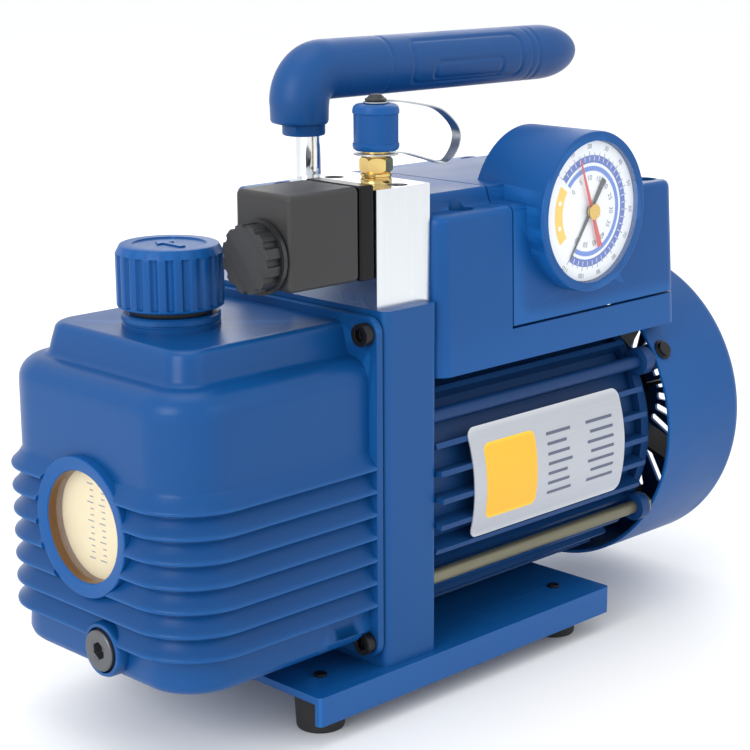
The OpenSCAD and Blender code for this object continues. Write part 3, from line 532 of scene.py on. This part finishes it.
cap_profile = [(10.5, 176), (10.5, 151.4), (13.4, 151.4), (13.4, 161.2), (18.8, 161.2), (19.5, 161.6),
               (19.7, 162.2), (19.7, 162.5), (19.7, 163.1), (19.7, 170), (19.7, 177.6), (19.7, 180.2),
               (19.7, 180.9), (19.6, 181.1), (18.1, 183.9), (17.7, 184.1), (13.6, 184.1),
               (13.2, 183.5), (12.4, 183.4), (0.01, 183.4)]
oil_cap = lathe("oil_cap_shape", cap_profile, (CAP_X, 0, 0), "z", GROOVES * 12,
                radius=cap_radius, angle=34)
arrow = prism("arrow", [(-1.1, -8), (1.1, -8), (1.1, 2), (3.8, 2), (0, 8), (-3.8, 2), (-1.1, 2)],
              183.3, 184.0, "z")
arrow.data.transform(Matrix.Translation((CAP_X * MM, 0, 0)))
combine(oil_cap, [arrow], "UNION", 34)
dress(oil_cap, "filler_cap", BOX_BLUE, ["oil_cap"])

seal = lathe("oil_cap_seal_shape",
             [(13.9, 159.02), (14.9, 159.02), (15.2, 159.4), (15.2, 160.8), (14.9, 161.18),
              (13.9, 161.18)], (CAP_X, 0, 0), "z", 48, closed=True)
dress(seal, "filler_seal", RUBBER, ["oil_cap_seal"])
soften("drain_plug", 0.5, "drain_plug", PLUG_GREY)
soften("drain_washer", 0.15, "drain_seal", GASKET)
soften("tank_screws", 0.35, "frame", OXIDE)
soften("tank_gasket", 0.0, "frame", GASKET)


# ---- base and bracket ----

soften("base_plate", 1.1, "frame", STEEL_BLUE, segments=3)
soften("rubber_feet", 0.8, "frame", RUBBER)
soften("base_screws", 0.5, "frame", OXIDE)
soften("pump_bracket", 0.7, "frame", PAINT)


# ---- motor ----

soften("motor_housing", 0.35, "frame", FIN_BLUE)
soften("motor_end_shield", 0.5, "frame", FIN_BLUE)
rods = soften("tie_rods", 0.2, "frame", ROD_OLIVE)
# The rods above the shaft get the fins' dark blue and the rods below stay olive grey.
rods.data.materials.append(FIN_BLUE)
for face in rods.data.polygons:
    if face.center.z > SHAFT_Z * MM:
        face.material_index = 1


COVER_X = (164, 218.5)
COVER_R = 67.5
COVER_SLOTS = 24
COVER_SCREWS = (31.8, 148.2, 270)


def build_fan_cover():
    """The round cover over the fan, with a slotted rear face and three screw holes."""
    bend, sheet = 7, 1.6
    inner, low, high = COVER_R - bend, COVER_X[0], COVER_X[1] - bend
    arc = [math.pi / 2 * i / 8 for i in range(9)]
    outline = [(COVER_R - sheet + 0.3, low), (COVER_R - 0.3, low), (COVER_R, low + 0.4)]
    outline += [(inner + bend * math.cos(a), high + bend * math.sin(a)) for a in arc]
    outline += [(0.01, COVER_X[1]), (0.01, COVER_X[1] - sheet)]
    outline += [(inner + (bend - sheet) * math.cos(a), high + (bend - sheet) * math.sin(a))
                for a in reversed(arc)]
    outline.append((COVER_R - sheet, low + 0.4))
    cover = lathe("fan_cover_shape", outline, (0, 0, SHAFT_Z), "x", 144, closed=True, angle=30)
    to_shaft = Matrix.Translation((0, 0, SHAFT_Z * MM))
    cuts = []
    for i in range(COVER_SLOTS):
        slot = block("cut", (214, 20, -1.6), (222, 47, 1.6), 1.2, "x")
        slot.data.transform(to_shaft @ Matrix.Rotation(TAU * i / COVER_SLOTS, 4, "X"))
        cuts.append(slot)
    for a in COVER_SCREWS:
        hole = lathe("cut", [(2.2, 60), (2.2, 80)], (170, 0, 0), "z", 24)
        hole.data.transform(to_shaft @ Matrix.Rotation(math.radians(a - 90), 4, "X"))
        cuts.append(hole)
    combine(cover, [joined("cuts", cuts)], "DIFFERENCE", 30)
    dress(even_normals(cover), "frame", BOX_BLUE, ["fan_cover"])


build_fan_cover()
soften("fan_cover_screws", 0.3, "frame", OXIDE)


# ---- terminal box, its cover and the gauge hood ----

BOX_X = (28, 174.5)
BOX_HALF = 60.6
BOX_TOP = 190.6
SKIRT_Z = 129
SEAM_Z = 142.6
SPLIT_X = 69
FLOOR_Z = 152.5
WALL = 3
LEAN_FROM = 100
LEAN_OUT, LEAN_IN, LEAN_SIDES = 1.7, 4.0, 0.022
GAUGE = (109.6, 184.6)
HOOD_R = 32.2
HOOD_FRONT = -67.3
HOOD_BACK = -30.5


def raised_top(y):
    """Height of the raised top above the box's edge at a place across the box."""
    rise = 6.4
    if y < -48.8 or y > 51:
        return 0.0
    if y < -45.6:
        return rise * (0.5 - 0.5 * math.cos(math.pi * (y + 48.8) / 3.2))
    if y < 16:
        return rise
    share = (y - 16) / 35
    return rise * (1 - share * share * (3 - 2 * share) * 0.6 - share * 0.4)


def share_up(z):
    """How far up the box's walls a height is, from 0 to 1. The walls lean in as they rise."""
    return min(max((z - SKIRT_Z) / (BOX_TOP - SKIRT_Z), 0), 1)


def box_section(x):
    """The box's outline in y and z at a place along it, round at the top and at the ends."""
    ends = min(x - BOX_X[0], BOX_X[1] - x)
    pull = 6 - math.sqrt(36 - (6 - min(ends, 6)) ** 2)
    drop = 3 - math.sqrt(9 - (3 - min(ends, 3)) ** 2)
    share = min(max((ends - 5.5) / 3.2, 0), 1)
    grow = share * share * (3 - 2 * share)
    half, top = BOX_HALF - pull, BOX_TOP - drop
    across = [(-half, SKIRT_Z), (-half, 150), (-half, 170), (-half, top - 3)]
    for i in range(1, 5):
        a = math.pi / 2 * i / 4
        across.append((-half + 3 * (1 - math.cos(a)), top - 3 + 3 * math.sin(a)))
    inner = [-51, -50, -49.4, -48.8, -48.3, -47.7, -47.1, -46.5, -46.0, -45.6, -44.8, -43, -30, -15, 0,
             10, 16, 21, 26, 31, 36, 41, 46, 49, 51, 53]
    across += [(y, top + grow * raised_top(y)) for y in inner]
    for i in range(4):
        a = math.pi / 2 * (1 - i / 4)
        across.append((half - 3 * (1 - math.cos(a)), top - 3 + 3 * math.sin(a)))
    across += [(half, top - 3), (half, 170), (half, 150), (half, SKIRT_Z)]
    lean = max(0.0, (x - LEAN_FROM) / (BOX_X[1] - LEAN_FROM))
    return [(x + lean * (LEAN_OUT - LEAN_IN * share_up(z)), y * (1 - LEAN_SIDES * share_up(z)), z)
            for y, z in across]


def box_solid(name):
    """The box's outer form, solid, from its front end to its rear end."""
    steps = [0, 0.15, 0.5, 1, 1.6, 2.3, 3, 4, 5, 5.5, 6.1, 6.7, 7.3, 7.9, 8.7, 10]
    stations = [BOX_X[0] + s for s in steps] + [40, 60, 80, 100, 120, 140]
    stations += [BOX_X[1] - s for s in reversed(steps)]
    return loft(name, [box_section(x) for x in stations], 30)


def hood_solid():
    """The gauge's round hood."""
    profile = [(HOOD_R - 0.6, HOOD_BACK), (HOOD_R, HOOD_BACK - 0.6), (HOOD_R, HOOD_FRONT + 1.0),
               (HOOD_R - 0.3, HOOD_FRONT + 0.3), (HOOD_R - 1.0, HOOD_FRONT)]
    return lathe("hood", profile, (GAUGE[0], 0, GAUGE[1]), "y", 128)


def motor_clearance(name):
    """The room that the box leaves for the motor and the fan cover."""
    profile = [(63.2, 0), (63.2, 162), (68.5, 162), (68.5, 200)]
    return lathe(name, profile, (0, 0, SHAFT_Z), "x", 96)


def screw_wells(x, name):
    """Oval wells round the screws that hold the box together."""
    wells = []
    for side in (-1, 1):
        outline = [(x + 1.35 * u, side * 50 + v) for u, v in polygon_ring(28, 4.1)]
        wells.append(prism(name, outline, BOX_TOP - 4, 205, "z"))
    return wells


def build_box():
    """The front part and skirt of the box, and the cover that carries the gauge."""
    lower = box_solid("terminal_box_shape")
    cuts = [
        block("cut", (SPLIT_X, -80, SEAM_Z - 0.4), (200, 80, 220)),
        block("cut", (BOX_X[0] + WALL, -BOX_HALF + WALL, FLOOR_Z),
              (SPLIT_X + 1, BOX_HALF - WALL, BOX_TOP - WALL)),
        block("cut", (BOX_X[0] + WALL, -BOX_HALF + WALL, SKIRT_Z - 2),
              (BOX_X[1] - WALL, BOX_HALF - WALL, FLOOR_Z - WALL)),
        motor_clearance("cut"),
    ]
    combine(lower, cuts + screw_wells(50, "cut"), "DIFFERENCE", 30)
    shelf = block("shelf", (SPLIT_X - 1, -BOX_HALF + WALL + 0.3, FLOOR_Z - WALL),
                  (BOX_X[1] - WALL, BOX_HALF - WALL - 0.3, FLOOR_Z))
    combine(shelf, [motor_clearance("cut")], "DIFFERENCE")
    combine(lower, [shelf], "UNION", 30)
    bevel(lower, 0.45, 2, 40)
    dress(lower, "frame", BOX_BLUE, ["terminal_box"])

    cover = box_solid("box_cover_shape")
    keep = block("keep", (SPLIT_X + 0.8, -90, SEAM_Z + 0.7), (220, 90, 260))
    combine(cover, [keep], "INTERSECT", 30)
    pad = block("pad", (166, -47.5, 153), (BOX_X[1], 10.5, 187.8), 3, "x")
    combine(cover, [hood_solid(), pad], "UNION", 30)
    cavity = [
        block("cut", (SPLIT_X - 1, -BOX_HALF + WALL - 0.5, SEAM_Z - 2),
              (BOX_X[1] - WALL, BOX_HALF - WALL + 0.5, FLOOR_Z)),
        block("cut", (SPLIT_X + WALL, -34, FLOOR_Z - 1),
              (BOX_X[1] - 2 * WALL, BOX_HALF - WALL, BOX_TOP - WALL)),
        lathe("cut", [(28.4, -70), (28.4, -36)], (GAUGE[0], 0, GAUGE[1]), "y", 128),
        motor_clearance("cut"),
        block("cut", (160, -42, 157), (178, 5, 184)),
    ]
    combine(cover, cavity + screw_wells(164, "cut"), "DIFFERENCE", 30)
    bevel(cover, 0.7, 3, 38)
    dress(cover, "frame", BOX_BLUE, ["box_cover"])


build_box()
soften("box_screws", 0.3, "frame", OXIDE)
soften("power_inlet", 0.6, "frame", BLACK_PLASTIC)
soften("rocker_switch", 0.5, "switch", BLACK_PLASTIC)


# ---- gauge ----

GX, GZ = GAUGE
DIAL_Y = -64.6


def sector(name, start, end, inner, outer, y, thick=0.08, steps=2.0):
    """A thin arc on the dial between two clockwise angles from the top, in degrees."""
    count = max(2, int(abs(end - start) / steps))
    points = []
    for i in range(count + 1):
        a = math.radians(start + (end - start) * i / count)
        for r, depth in ((inner, y), (outer, y), (outer, y - thick), (inner, y - thick)):
            points.append((GX + r * math.sin(a), depth, GZ + r * math.cos(a)))
    faces = []
    for i in range(count):
        for k in range(4):
            a, b = i * 4 + k, i * 4 + (k + 1) % 4
            faces.append((a, b, b + 4, a + 4))
    faces += [(0, 1, 2, 3), tuple(count * 4 + k for k in range(4))]
    return mesh_object(name, points, faces)


def number(text, angle, r, size):
    """A number lying on the dial, as a flat mesh a little above it."""
    curve = bpy.data.curves.new("number", "FONT")
    curve.body = text
    curve.size = size * MM
    curve.align_x = "CENTER"
    curve.align_y = "CENTER"
    curve.extrude = 0.03 * MM
    holder = bpy.data.objects.new("number", curve)
    bpy.context.scene.collection.objects.link(holder)
    depsgraph = bpy.context.evaluated_depsgraph_get()
    mesh = bpy.data.meshes.new_from_object(holder.evaluated_get(depsgraph))
    bpy.data.objects.remove(holder)
    a = math.radians(angle)
    upright = Matrix.Rotation(math.pi / 2, 4, "X")
    turned = Matrix.Rotation(a, 4, "Y")
    place = Matrix.Translation(at(GX + r * math.sin(a), DIAL_Y - 0.05, GZ + r * math.cos(a)))
    mesh.transform(place @ turned @ upright)
    obj = bpy.data.objects.new("number", mesh)
    bpy.context.scene.collection.objects.link(obj)
    return obj


def build_dial():
    """The dial's printed bands, marks and numbers, each a thin piece on the dial."""
    first, last = -50, 214
    dress(joined("dial_band_dark", [sector("band", first, last, 19.4, 22.4, DIAL_Y)]),
          "frame", DIAL_BLUE)
    dress(joined("dial_band_pale", [sector("band", first, last, 16.2, 18.1, DIAL_Y)]),
          "frame", DIAL_SKY)
    dress(joined("dial_sector", [sector("band", 237, 303, 16.8, 21.4, DIAL_Y)]),
          "frame", YELLOW)
    white, dark = [], []
    for i in range(34):
        a = first + (last - first) * i / 33
        white.append(sector("mark", a - 0.35, a + 0.35, 20.2, 22.0, DIAL_Y - 0.06, steps=0.7))
        dark.append(sector("mark", a - 0.3, a + 0.3, 22.4, 23.4 if i % 3 else 24.0, DIAL_Y, steps=0.6))
    dress(joined("dial_marks_white", white), "frame", DIAL_WHITE)
    for i in range(12):
        a = first + (last - first) * i / 11
        dark.append(number(str(i * 10), a, 25.9, 2.6))
        dark.append(number(str(i * 5), a, 13.4, 3.0))
    dress(joined("dial_numbers", dark), "frame", BAR_GREY)
    dots = []
    for a in (math.radians(255), math.radians(285)):
        outline = [(0.01, DIAL_Y), (0.9, DIAL_Y), (0.9, DIAL_Y - 0.1), (0.01, DIAL_Y - 0.1)]
        centre = (GX + 19.1 * math.sin(a), -0.06, GZ + 19.1 * math.cos(a))
        dots.append(lathe("dot", outline, centre, "y", 20))
    dress(joined("dial_dots", dots), "frame", DIAL_WHITE)


build_dial()
soften("gauge_dial", 0.0, "frame", DIAL_WHITE)
soften("gauge_case", 0.3, "frame", STEEL)
soften("gauge_needle", 0.08, "needle", INK)
set_needle = soften("set_needle", 0.08, "set_hand", RED)
set_needle.data.materials.append(BRASS)
for face in set_needle.data.polygons:
    if math.hypot(face.center.x - at(GX, 0, 0).x, face.center.z - GZ * MM) < 3.3 * MM:
        face.material_index = 1


# ---- inlet, cap and shut-off valve ----

soften("inlet_block", 0.6, "frame", BRIGHT)
soften("inlet_block_screws", 0.3, "frame", OXIDE)
INLET = (14.2, -40.3)


def build_fitting():
    """The brass flare fitting: ridged base, hexagon with chamfered corners, neck and flare."""
    x, y = INLET
    base = [(2.6, 195.5), (5, 195.5), (5, 203.4), (5.7, 203.4), (5.9, 203.8), (5.9, 204.9), (5.5, 205.3),
            (5.5, 205.8), (5.9, 206.2), (5.9, 207.0), (5.4, 207.4), (2.6, 207.4)]
    round_base = lathe("inlet_fitting_shape", base, (x, y, 0), "z", 64, closed=True, angle=30)
    hexagon = prism("hexagon", [(x + u, y + v) for u, v in polygon_ring(6, 6.3, 0.35)], 207.3, 213.2)
    cone = lathe("cone",
                 [(5.3, 207.3), (6.1, 208.2), (6.35, 208.6), (6.35, 211.9), (5.9, 212.6), (5.2, 213.2)],
                 (x, y, 0), "z", 64)
    combine(hexagon, [cone], "INTERSECT", 30)
    neck = [(4.6, 213), (4.6, 214.3), (4.95, 214.6)]
    for i in range(6):
        z = 215.2 + i * 1.9
        neck += [(4.95, z), (4.5, z + 0.5), (4.5, z + 1.0), (4.95, z + 1.5)]
    neck += [(4.6, 227.2), (3.0, 227.8)]
    stub = lathe("stub", neck, (x, y, 0), "z", 48)
    combine(round_base, [hexagon, stub], "UNION", 30)
    bore = lathe("bore", [(2.6, 190), (2.6, 230)], (x, y, 0), "z", 32)
    combine(round_base, [bore], "DIFFERENCE", 30)
    dress(round_base, "frame", BRASS, ["inlet_fitting"])


def flats(turn, r, h):
    """Six shallow flats round the middle of the flare cap."""
    if r < 8 or not 218.2 < h < 229:
        return r
    phase = (turn * 6 / TAU) % 1 - 0.5
    flat = math.cos(math.pi / 6) / math.cos(phase * math.pi / 3)
    return r * (1 + (flat - 1) * 0.28)


build_fitting()
cap_rings = [(1.9, 232.5), (1.9, 231.2), (5.3, 230.4), (5.3, 215.5), (7.7, 215.5), (8.4, 216.1),
             (8.7, 216.9), (8.7, 218.0), (8.55, 218.3), (8.55, 218.9), (8.55, 223), (8.55, 228.4),
             (8.55, 228.9), (8.7, 229.2), (8.7, 230.4), (8.3, 231.6), (7.4, 232.3), (6.2, 232.5)]
inlet_cap = lathe("inlet_cap_shape", cap_rings, (*INLET, 0), "z", 96, closed=True, radius=flats,
                  angle=30)
dress(inlet_cap, "inlet_cap", BOX_BLUE, ["inlet_cap"])
soften("cap_rivet", 0.25, "cap_tether", BLACK_PLASTIC)

STRAP = [(20, 214.2), (28.8, 213.1), (39.9, 210), (49.7, 207.6), (55.6, 211.7), (57.6, 217.4),
         (54.9, 222.6), (46.8, 228.3), (35.5, 231), (24.3, 232.8), (17.3, 233)]


def smooth_path(points, steps=6):
    """A Catmull-Rom curve through points of two coordinates."""
    path = []
    for i in range(len(points) - 1):
        p = [Vector(points[max(0, min(len(points) - 1, i + k))]) for k in (-1, 0, 1, 2)]
        for s in range(steps):
            t = s / steps
            path.append(0.5 * (2 * p[1] + (p[2] - p[0]) * t
                               + (2 * p[0] - 5 * p[1] + 4 * p[2] - p[3]) * t * t
                               + (3 * p[1] - p[0] - 3 * p[2] + p[3]) * t ** 3))
    path.append(Vector(points[-1]))
    return path


def build_strap():
    """The thin steel strap that ties the flare cap to the fitting, with its two rings."""
    path = smooth_path(STRAP)
    rings = []
    for i, p in enumerate(path):
        along = (path[min(i + 1, len(path) - 1)] - path[max(i - 1, 0)]).normalized()
        side = Vector((-along.y, along.x)) * 0.25
        taper = 2.2 if 2 < i < len(path) - 3 else 2.4
        left, right = INLET[1] - taper, INLET[1] + taper
        rings.append([(p.x + side.x, left, p.y + side.y), (p.x + side.x, right, p.y + side.y),
                      (p.x - side.x, right, p.y - side.y), (p.x - side.x, left, p.y - side.y)])
    band = loft("cap_strap_shape", rings, 50)
    lower = lathe("ring", [(5.1, 213.9), (8.2, 213.9), (8.4, 214.1), (8.2, 214.5), (5.1, 214.5)],
                  (*INLET, 0), "z", 48, closed=True)
    upper = lathe("ring", [(1.7, 232.7), (4.5, 232.7), (4.6, 233.0), (4.4, 233.3), (1.7, 233.3)],
                  (*INLET, 0), "z", 32, closed=True)
    combine(band, [lower, upper], "UNION", 40)
    band.data.materials.append(STEEL)
    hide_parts("cap_strap")
    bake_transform(band)


build_strap()

COIL_AXIS = (-40.2, 182.7)
COIL_X = (-41.3, -7.6)
VALVE_X = (COIL_X[1], -0.3)
VALVE_LOW = (-54.2, 170.8)
VALVE_HIGH = (-24.7, 205.5)
SPRING_X = (-41.9, -34.1)


def build_spring():
    """The coil spring that pushes the solenoid's plunger back."""
    turns, steps, sides, mean, wire = 4.5, 20, 8, 3.5, 0.3
    count = int(turns * steps)
    rings = []
    for i in range(count + 1):
        a = TAU * i / steps
        out = Vector((0, math.cos(a), math.sin(a)))
        along = SPRING_X[0] + wire + (SPRING_X[1] - SPRING_X[0] - 2 * wire) * i / count
        middle = Vector((along, *COIL_AXIS)) + out * mean
        ring = []
        for k in range(sides):
            b = TAU * k / sides
            ring.append(tuple(middle + (out * math.cos(b) + Vector((1, 0, 0)) * math.sin(b)) * wire))
        rings.append(ring)
    spring = loft("plunger_spring_shape", rings, 60)
    spring.data.materials.append(STEEL)
    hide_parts("plunger_spring")
    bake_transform(spring)


build_spring()
coil = round_block("solenoid_coil_shape", (COIL_X[0], *VALVE_LOW), (COIL_X[1], *VALVE_HIGH), 2.2)
combine(coil, [rod_x("bore", -43, -6, 6.06, *COIL_AXIS)], "DIFFERENCE", 50)
dress(even_normals(coil), "frame", COIL_GREY, ["solenoid_coil"])
valve = round_block("valve_body_shape", (VALVE_X[0], *VALVE_LOW), (VALVE_X[1], *VALVE_HIGH), 1.0)
valve_bores = [rod_x("bore", -9, 1, 3, *COIL_AXIS), rod_x("bore", -9, -3.5, 6.05, *COIL_AXIS)]
combine(valve, valve_bores, "DIFFERENCE", 50)
dress(even_normals(valve), "frame", GLOSS_BLACK, ["valve_body"])
soften("coil_knob", 0.5, "coil_knob", BLACK_PLASTIC)
soften("coil_washer", 0.1, "knob_washer", STEEL)


# ---- handle ----

HANDLE_X = 17.2
NECK_X = 15.0
STEM_X = 12.9
GRIP_Z = 242
GRIP_R = 11.5
GRIP_TIP = 173.5
TAPER_FROM = 148
PANEL_X = 97


def rounded_box_distance(u, v, half_u, half_v, r):
    """Distance from a point to the outline of a rounded rectangle."""
    du, dv = abs(u) - half_u + r, abs(v) - half_v + r
    outside = math.hypot(max(du, 0), max(dv, 0)) + min(max(du, dv), 0)
    return abs(outside - r)


def groove(distance, width):
    """Depth of a soft groove, from 1 on its line to 0 far from it."""
    return math.exp(-((distance / width) ** 2))


def grip_radius(x, turn):
    """Radius of the grip's bar: a bullet tip, two seams and two framed panels on each side.
    turn is 0 at the -Y side and grows upwards."""
    r = GRIP_R
    if x > TAPER_FROM:
        t = (x - TAPER_FROM) / (GRIP_TIP - TAPER_FROM)
        r = GRIP_R * max(0.0, 1 - t ** 2.3) ** 0.60
    for seam in (53, 140):
        r -= 0.45 * groove(x - seam, 0.7)
    r -= 0.3 * groove(x - 135.5, 0.6)
    for centre in (0, math.pi):
        v = (turn - centre + math.pi) % TAU - math.pi
        arc = v * GRIP_R * (1 if centre == 0 else -1)
        r -= 0.6 * groove(rounded_box_distance(x - PANEL_X, arc - 1.0, 32, 9.6, 4), 0.75)
        r -= 0.55 * groove(rounded_box_distance(x - PANEL_X, arc + 3.2, 20, 3.6, 2.5), 0.7)
    return r


def build_grip():
    """The grip: a stepped foot on the tube, a round elbow and a bar with shallow panels."""
    steps = 144
    bend_r = 11.8
    rings = []

    def ring_at(centre, out, radius):
        """A ring round a centre; out is the direction away from the elbow's inside."""
        points = []
        for i in range(steps):
            turn = TAU * i / steps
            r = radius(turn) if callable(radius) else radius
            side, up = -math.cos(turn) * r, math.sin(turn) * r
            points.append((centre[0] + out[0] * up, side, centre[1] + out[1] * up))
        return points

    for z, r, x in ((217.7, 7.5, NECK_X), (217.9, 8.0, NECK_X), (218.4, 8.3, NECK_X),
                    (221.5, 8.3, NECK_X), (221.9, 8.6, 14.8), (222.2, 9.8, 13.9), (222.7, 10.8, 13.1),
                    (223.6, 11.2, STEM_X), (GRIP_Z - bend_r - 1, 11.35, STEM_X)):
        rings.append(ring_at((x, z), (-1, 0), r))
    for i in range(17):
        a = math.pi / 2 * i / 16
        centre = (STEM_X + bend_r * (1 - math.cos(a)), GRIP_Z - bend_r + bend_r * math.sin(a))
        rings.append(ring_at(centre, (-math.cos(a), math.sin(a)), 11.5))
    x = STEM_X + bend_r + 1.5
    while x < GRIP_TIP - 0.3:
        rings.append(ring_at((x, GRIP_Z), (0, 1), lambda turn, x=x: grip_radius(x, turn)))
        x += 0.8 if x < 166 else 0.5
    tip = GRIP_TIP - 0.15
    rings.append(ring_at((tip, GRIP_Z), (0, 1), lambda turn: grip_radius(tip, turn)))
    grip = loft("handle_grip_shape", rings, 50)
    bore = lathe("bore", [(4.82, 210), (4.82, 234)], (HANDLE_X, 0, 0), "z", 48)
    combine(grip, [bore], "DIFFERENCE", 50)
    dress(grip, "frame", GRIP_BLUE, ["handle_grip"])


build_grip()
for metal_node, metal, name in (("handle_tube", CHROME, "chrome"), ("armature_tube", STEEL, "steel")):
    soften(metal_node, 0.2, "frame", metal)


# ---- rating plate ----

PLATE_R = 62.55


def curved_patch(name, low, high, r, corner, thick):
    """A thin plate with round corners, bent round the motor. low and high are (x, z)."""
    def lean(z):
        """Angle round the shaft at a height."""
        return math.asin((z - SHAFT_Z) / r)

    start, end = lean(low[1]), lean(high[1])
    bend = corner / r
    rows = 22
    columns = []
    for i in range(9):
        s = corner * (1 - math.cos(math.pi / 2 * i / 8))
        columns.append((low[0] + s, bend - math.sqrt(max(0, bend ** 2 - ((corner - s) / r) ** 2))))
    columns += [(high[0] - (x - low[0]), cut) for x, cut in reversed(columns)]
    points = []
    for x, cut in columns:
        for k in range(rows + 1):
            a = start + cut + (end - start - 2 * cut) * k / rows
            for reach in (r, r + thick):
                points.append((x, -reach * math.cos(a), SHAFT_Z + reach * math.sin(a)))
    faces = []
    wide = 2 * (rows + 1)
    for i in range(len(columns) - 1):
        for k in range(rows):
            p = i * wide + 2 * k
            faces.append((p, p + 2, p + 2 + wide, p + wide))
            faces.append((p + 1, p + 1 + wide, p + 3 + wide, p + 3))
        for p in (i * wide, i * wide + 2 * rows):
            faces.append((p, p + 1, p + 1 + wide, p + wide))
    for p0 in (0, (len(columns) - 1) * wide):
        for k in range(rows):
            p = p0 + 2 * k
            faces.append((p, p + 1, p + 3, p + 2))
    return mesh_object(name, points, faces, 50)


def build_plate():
    """The silver rating plate, with a plain yellow block and grey bars in place of print."""
    plate = curved_patch("rating_plate_shape", (45, 61.7), (138.2, 105.8), PLATE_R, 4, 0.5)
    dress(plate, "frame", LABEL, ["rating_plate"])
    face = PLATE_R + 0.5
    blocks = [curved_patch("block", (52, 68.5), (82, 99), face, 3, 0.08)]
    dress(joined("rating_plate_block", blocks), "frame", YELLOW)
    bars = []
    for k in range(7):
        z = 70.5 + k * 4.1
        bars.append(curved_patch("bar", (89, z), (104 - 1.5 * (k % 3), z + 1.3), face, 0.3, 0.06))
        bars.append(curved_patch("bar", (114 + (k % 2) * 2, z), (131, z + 1.3), face, 0.3, 0.06))
    dress(joined("rating_plate_bars", bars), "frame", BAR_GREY)


build_plate()


# ---- pieces whose CAD shape is shown ----

CARRIED = {
    "sight_glass": GLASS, "gauge_lens": GLASS, "pump_cylinder": CAST, "pump_end_plate": CAST,
    "pump_screws": OXIDE, "exhaust_valve": STEEL, "pump_rotor": STEEL, "vane_a": CARBON,
    "vane_b": CARBON, "drive_shaft": STEEL, "shaft_seal": RUBBER, "shaft_bearings": STEEL,
    "stator_core": CAST, "stator_windings": COPPER, "motor_rotor": CAST, "cooling_fan": BLACK_PLASTIC,
    "run_capacitor": WHITE_PLASTIC, "valve_plunger": STEEL,
}
for name, material in CARRIED.items():
    for place in nodes[name].material_slots:
        place.material = material


# ---- floor, light and camera ----

floor_mesh = bpy.data.meshes.new("floor")
FLOOR = 30
floor_corners = [(-FLOOR, -FLOOR, 0), (FLOOR, -FLOOR, 0), (FLOOR, FLOOR, 0), (-FLOOR, FLOOR, 0)]
floor_mesh.from_pydata(floor_corners, [], [(0, 1, 2, 3)])
floor = bpy.data.objects.new("floor", floor_mesh)
bpy.context.scene.collection.objects.link(floor)
floor_mesh.materials.append(surface("floor_pale", (244, 245, 246), 0.75, mottle=0.01,
                                    mottle_scale=3, depth=0.0, relief=0.0, wear_and_highlight=0.0))


def area_light(name, place, target, size, power):
    """A soft square light at a place, facing a target. Lengths are in metres."""
    light = bpy.data.lights.new(name, "AREA")
    light.shape = "RECTANGLE"
    light.size, light.size_y = size
    light.energy = power
    obj = bpy.data.objects.new(name, light)
    obj.location = place
    obj.rotation_euler = (Vector(target) - Vector(place)).to_track_quat("-Z", "Y").to_euler()
    bpy.context.scene.collection.objects.link(obj)


CENTRE = (0, 0, 0.12)
area_light("key", (-1.7, -0.3, 0.9), CENTRE, (1.0, 1.0), 15)
area_light("fill", (0.5, -1.8, 0.9), CENTRE, (1.4, 1.0), 3)
area_light("top", (-0.1, 0.1, 1.7), CENTRE, (1.0, 1.0), 5)
area_light("rear", (1.4, 1.2, 1.0), CENTRE, (1.0, 1.0), 5)

world = bpy.data.worlds.new("studio")
bpy.context.scene.world = world
world.use_nodes = True
background = world.node_tree.nodes["Background"]
background.inputs["Color"].default_value = (1, 1, 1, 1)
background.inputs["Strength"].default_value = 1.08
bpy.context.scene.view_settings.view_transform = "Standard"

AZIMUTH, ELEVATION = math.radians(-45.7), math.radians(13.96)
back = Vector((math.sin(AZIMUTH) * math.cos(ELEVATION), -math.cos(AZIMUTH) * math.cos(ELEVATION),
               math.sin(ELEVATION)))
camera_data = bpy.data.cameras.new("camera")
camera_data.sensor_width = 36
camera_data.lens = 91.8
camera_data.shift_x = -0.057
camera_data.shift_y = 0.007
camera = bpy.data.objects.new("camera", camera_data)
camera.location = (-0.540, -0.5443, 0.3033)
camera.rotation_euler = back.to_track_quat("Z", "Y").to_euler()
bpy.context.scene.collection.objects.link(camera)
bpy.context.scene.camera = camera
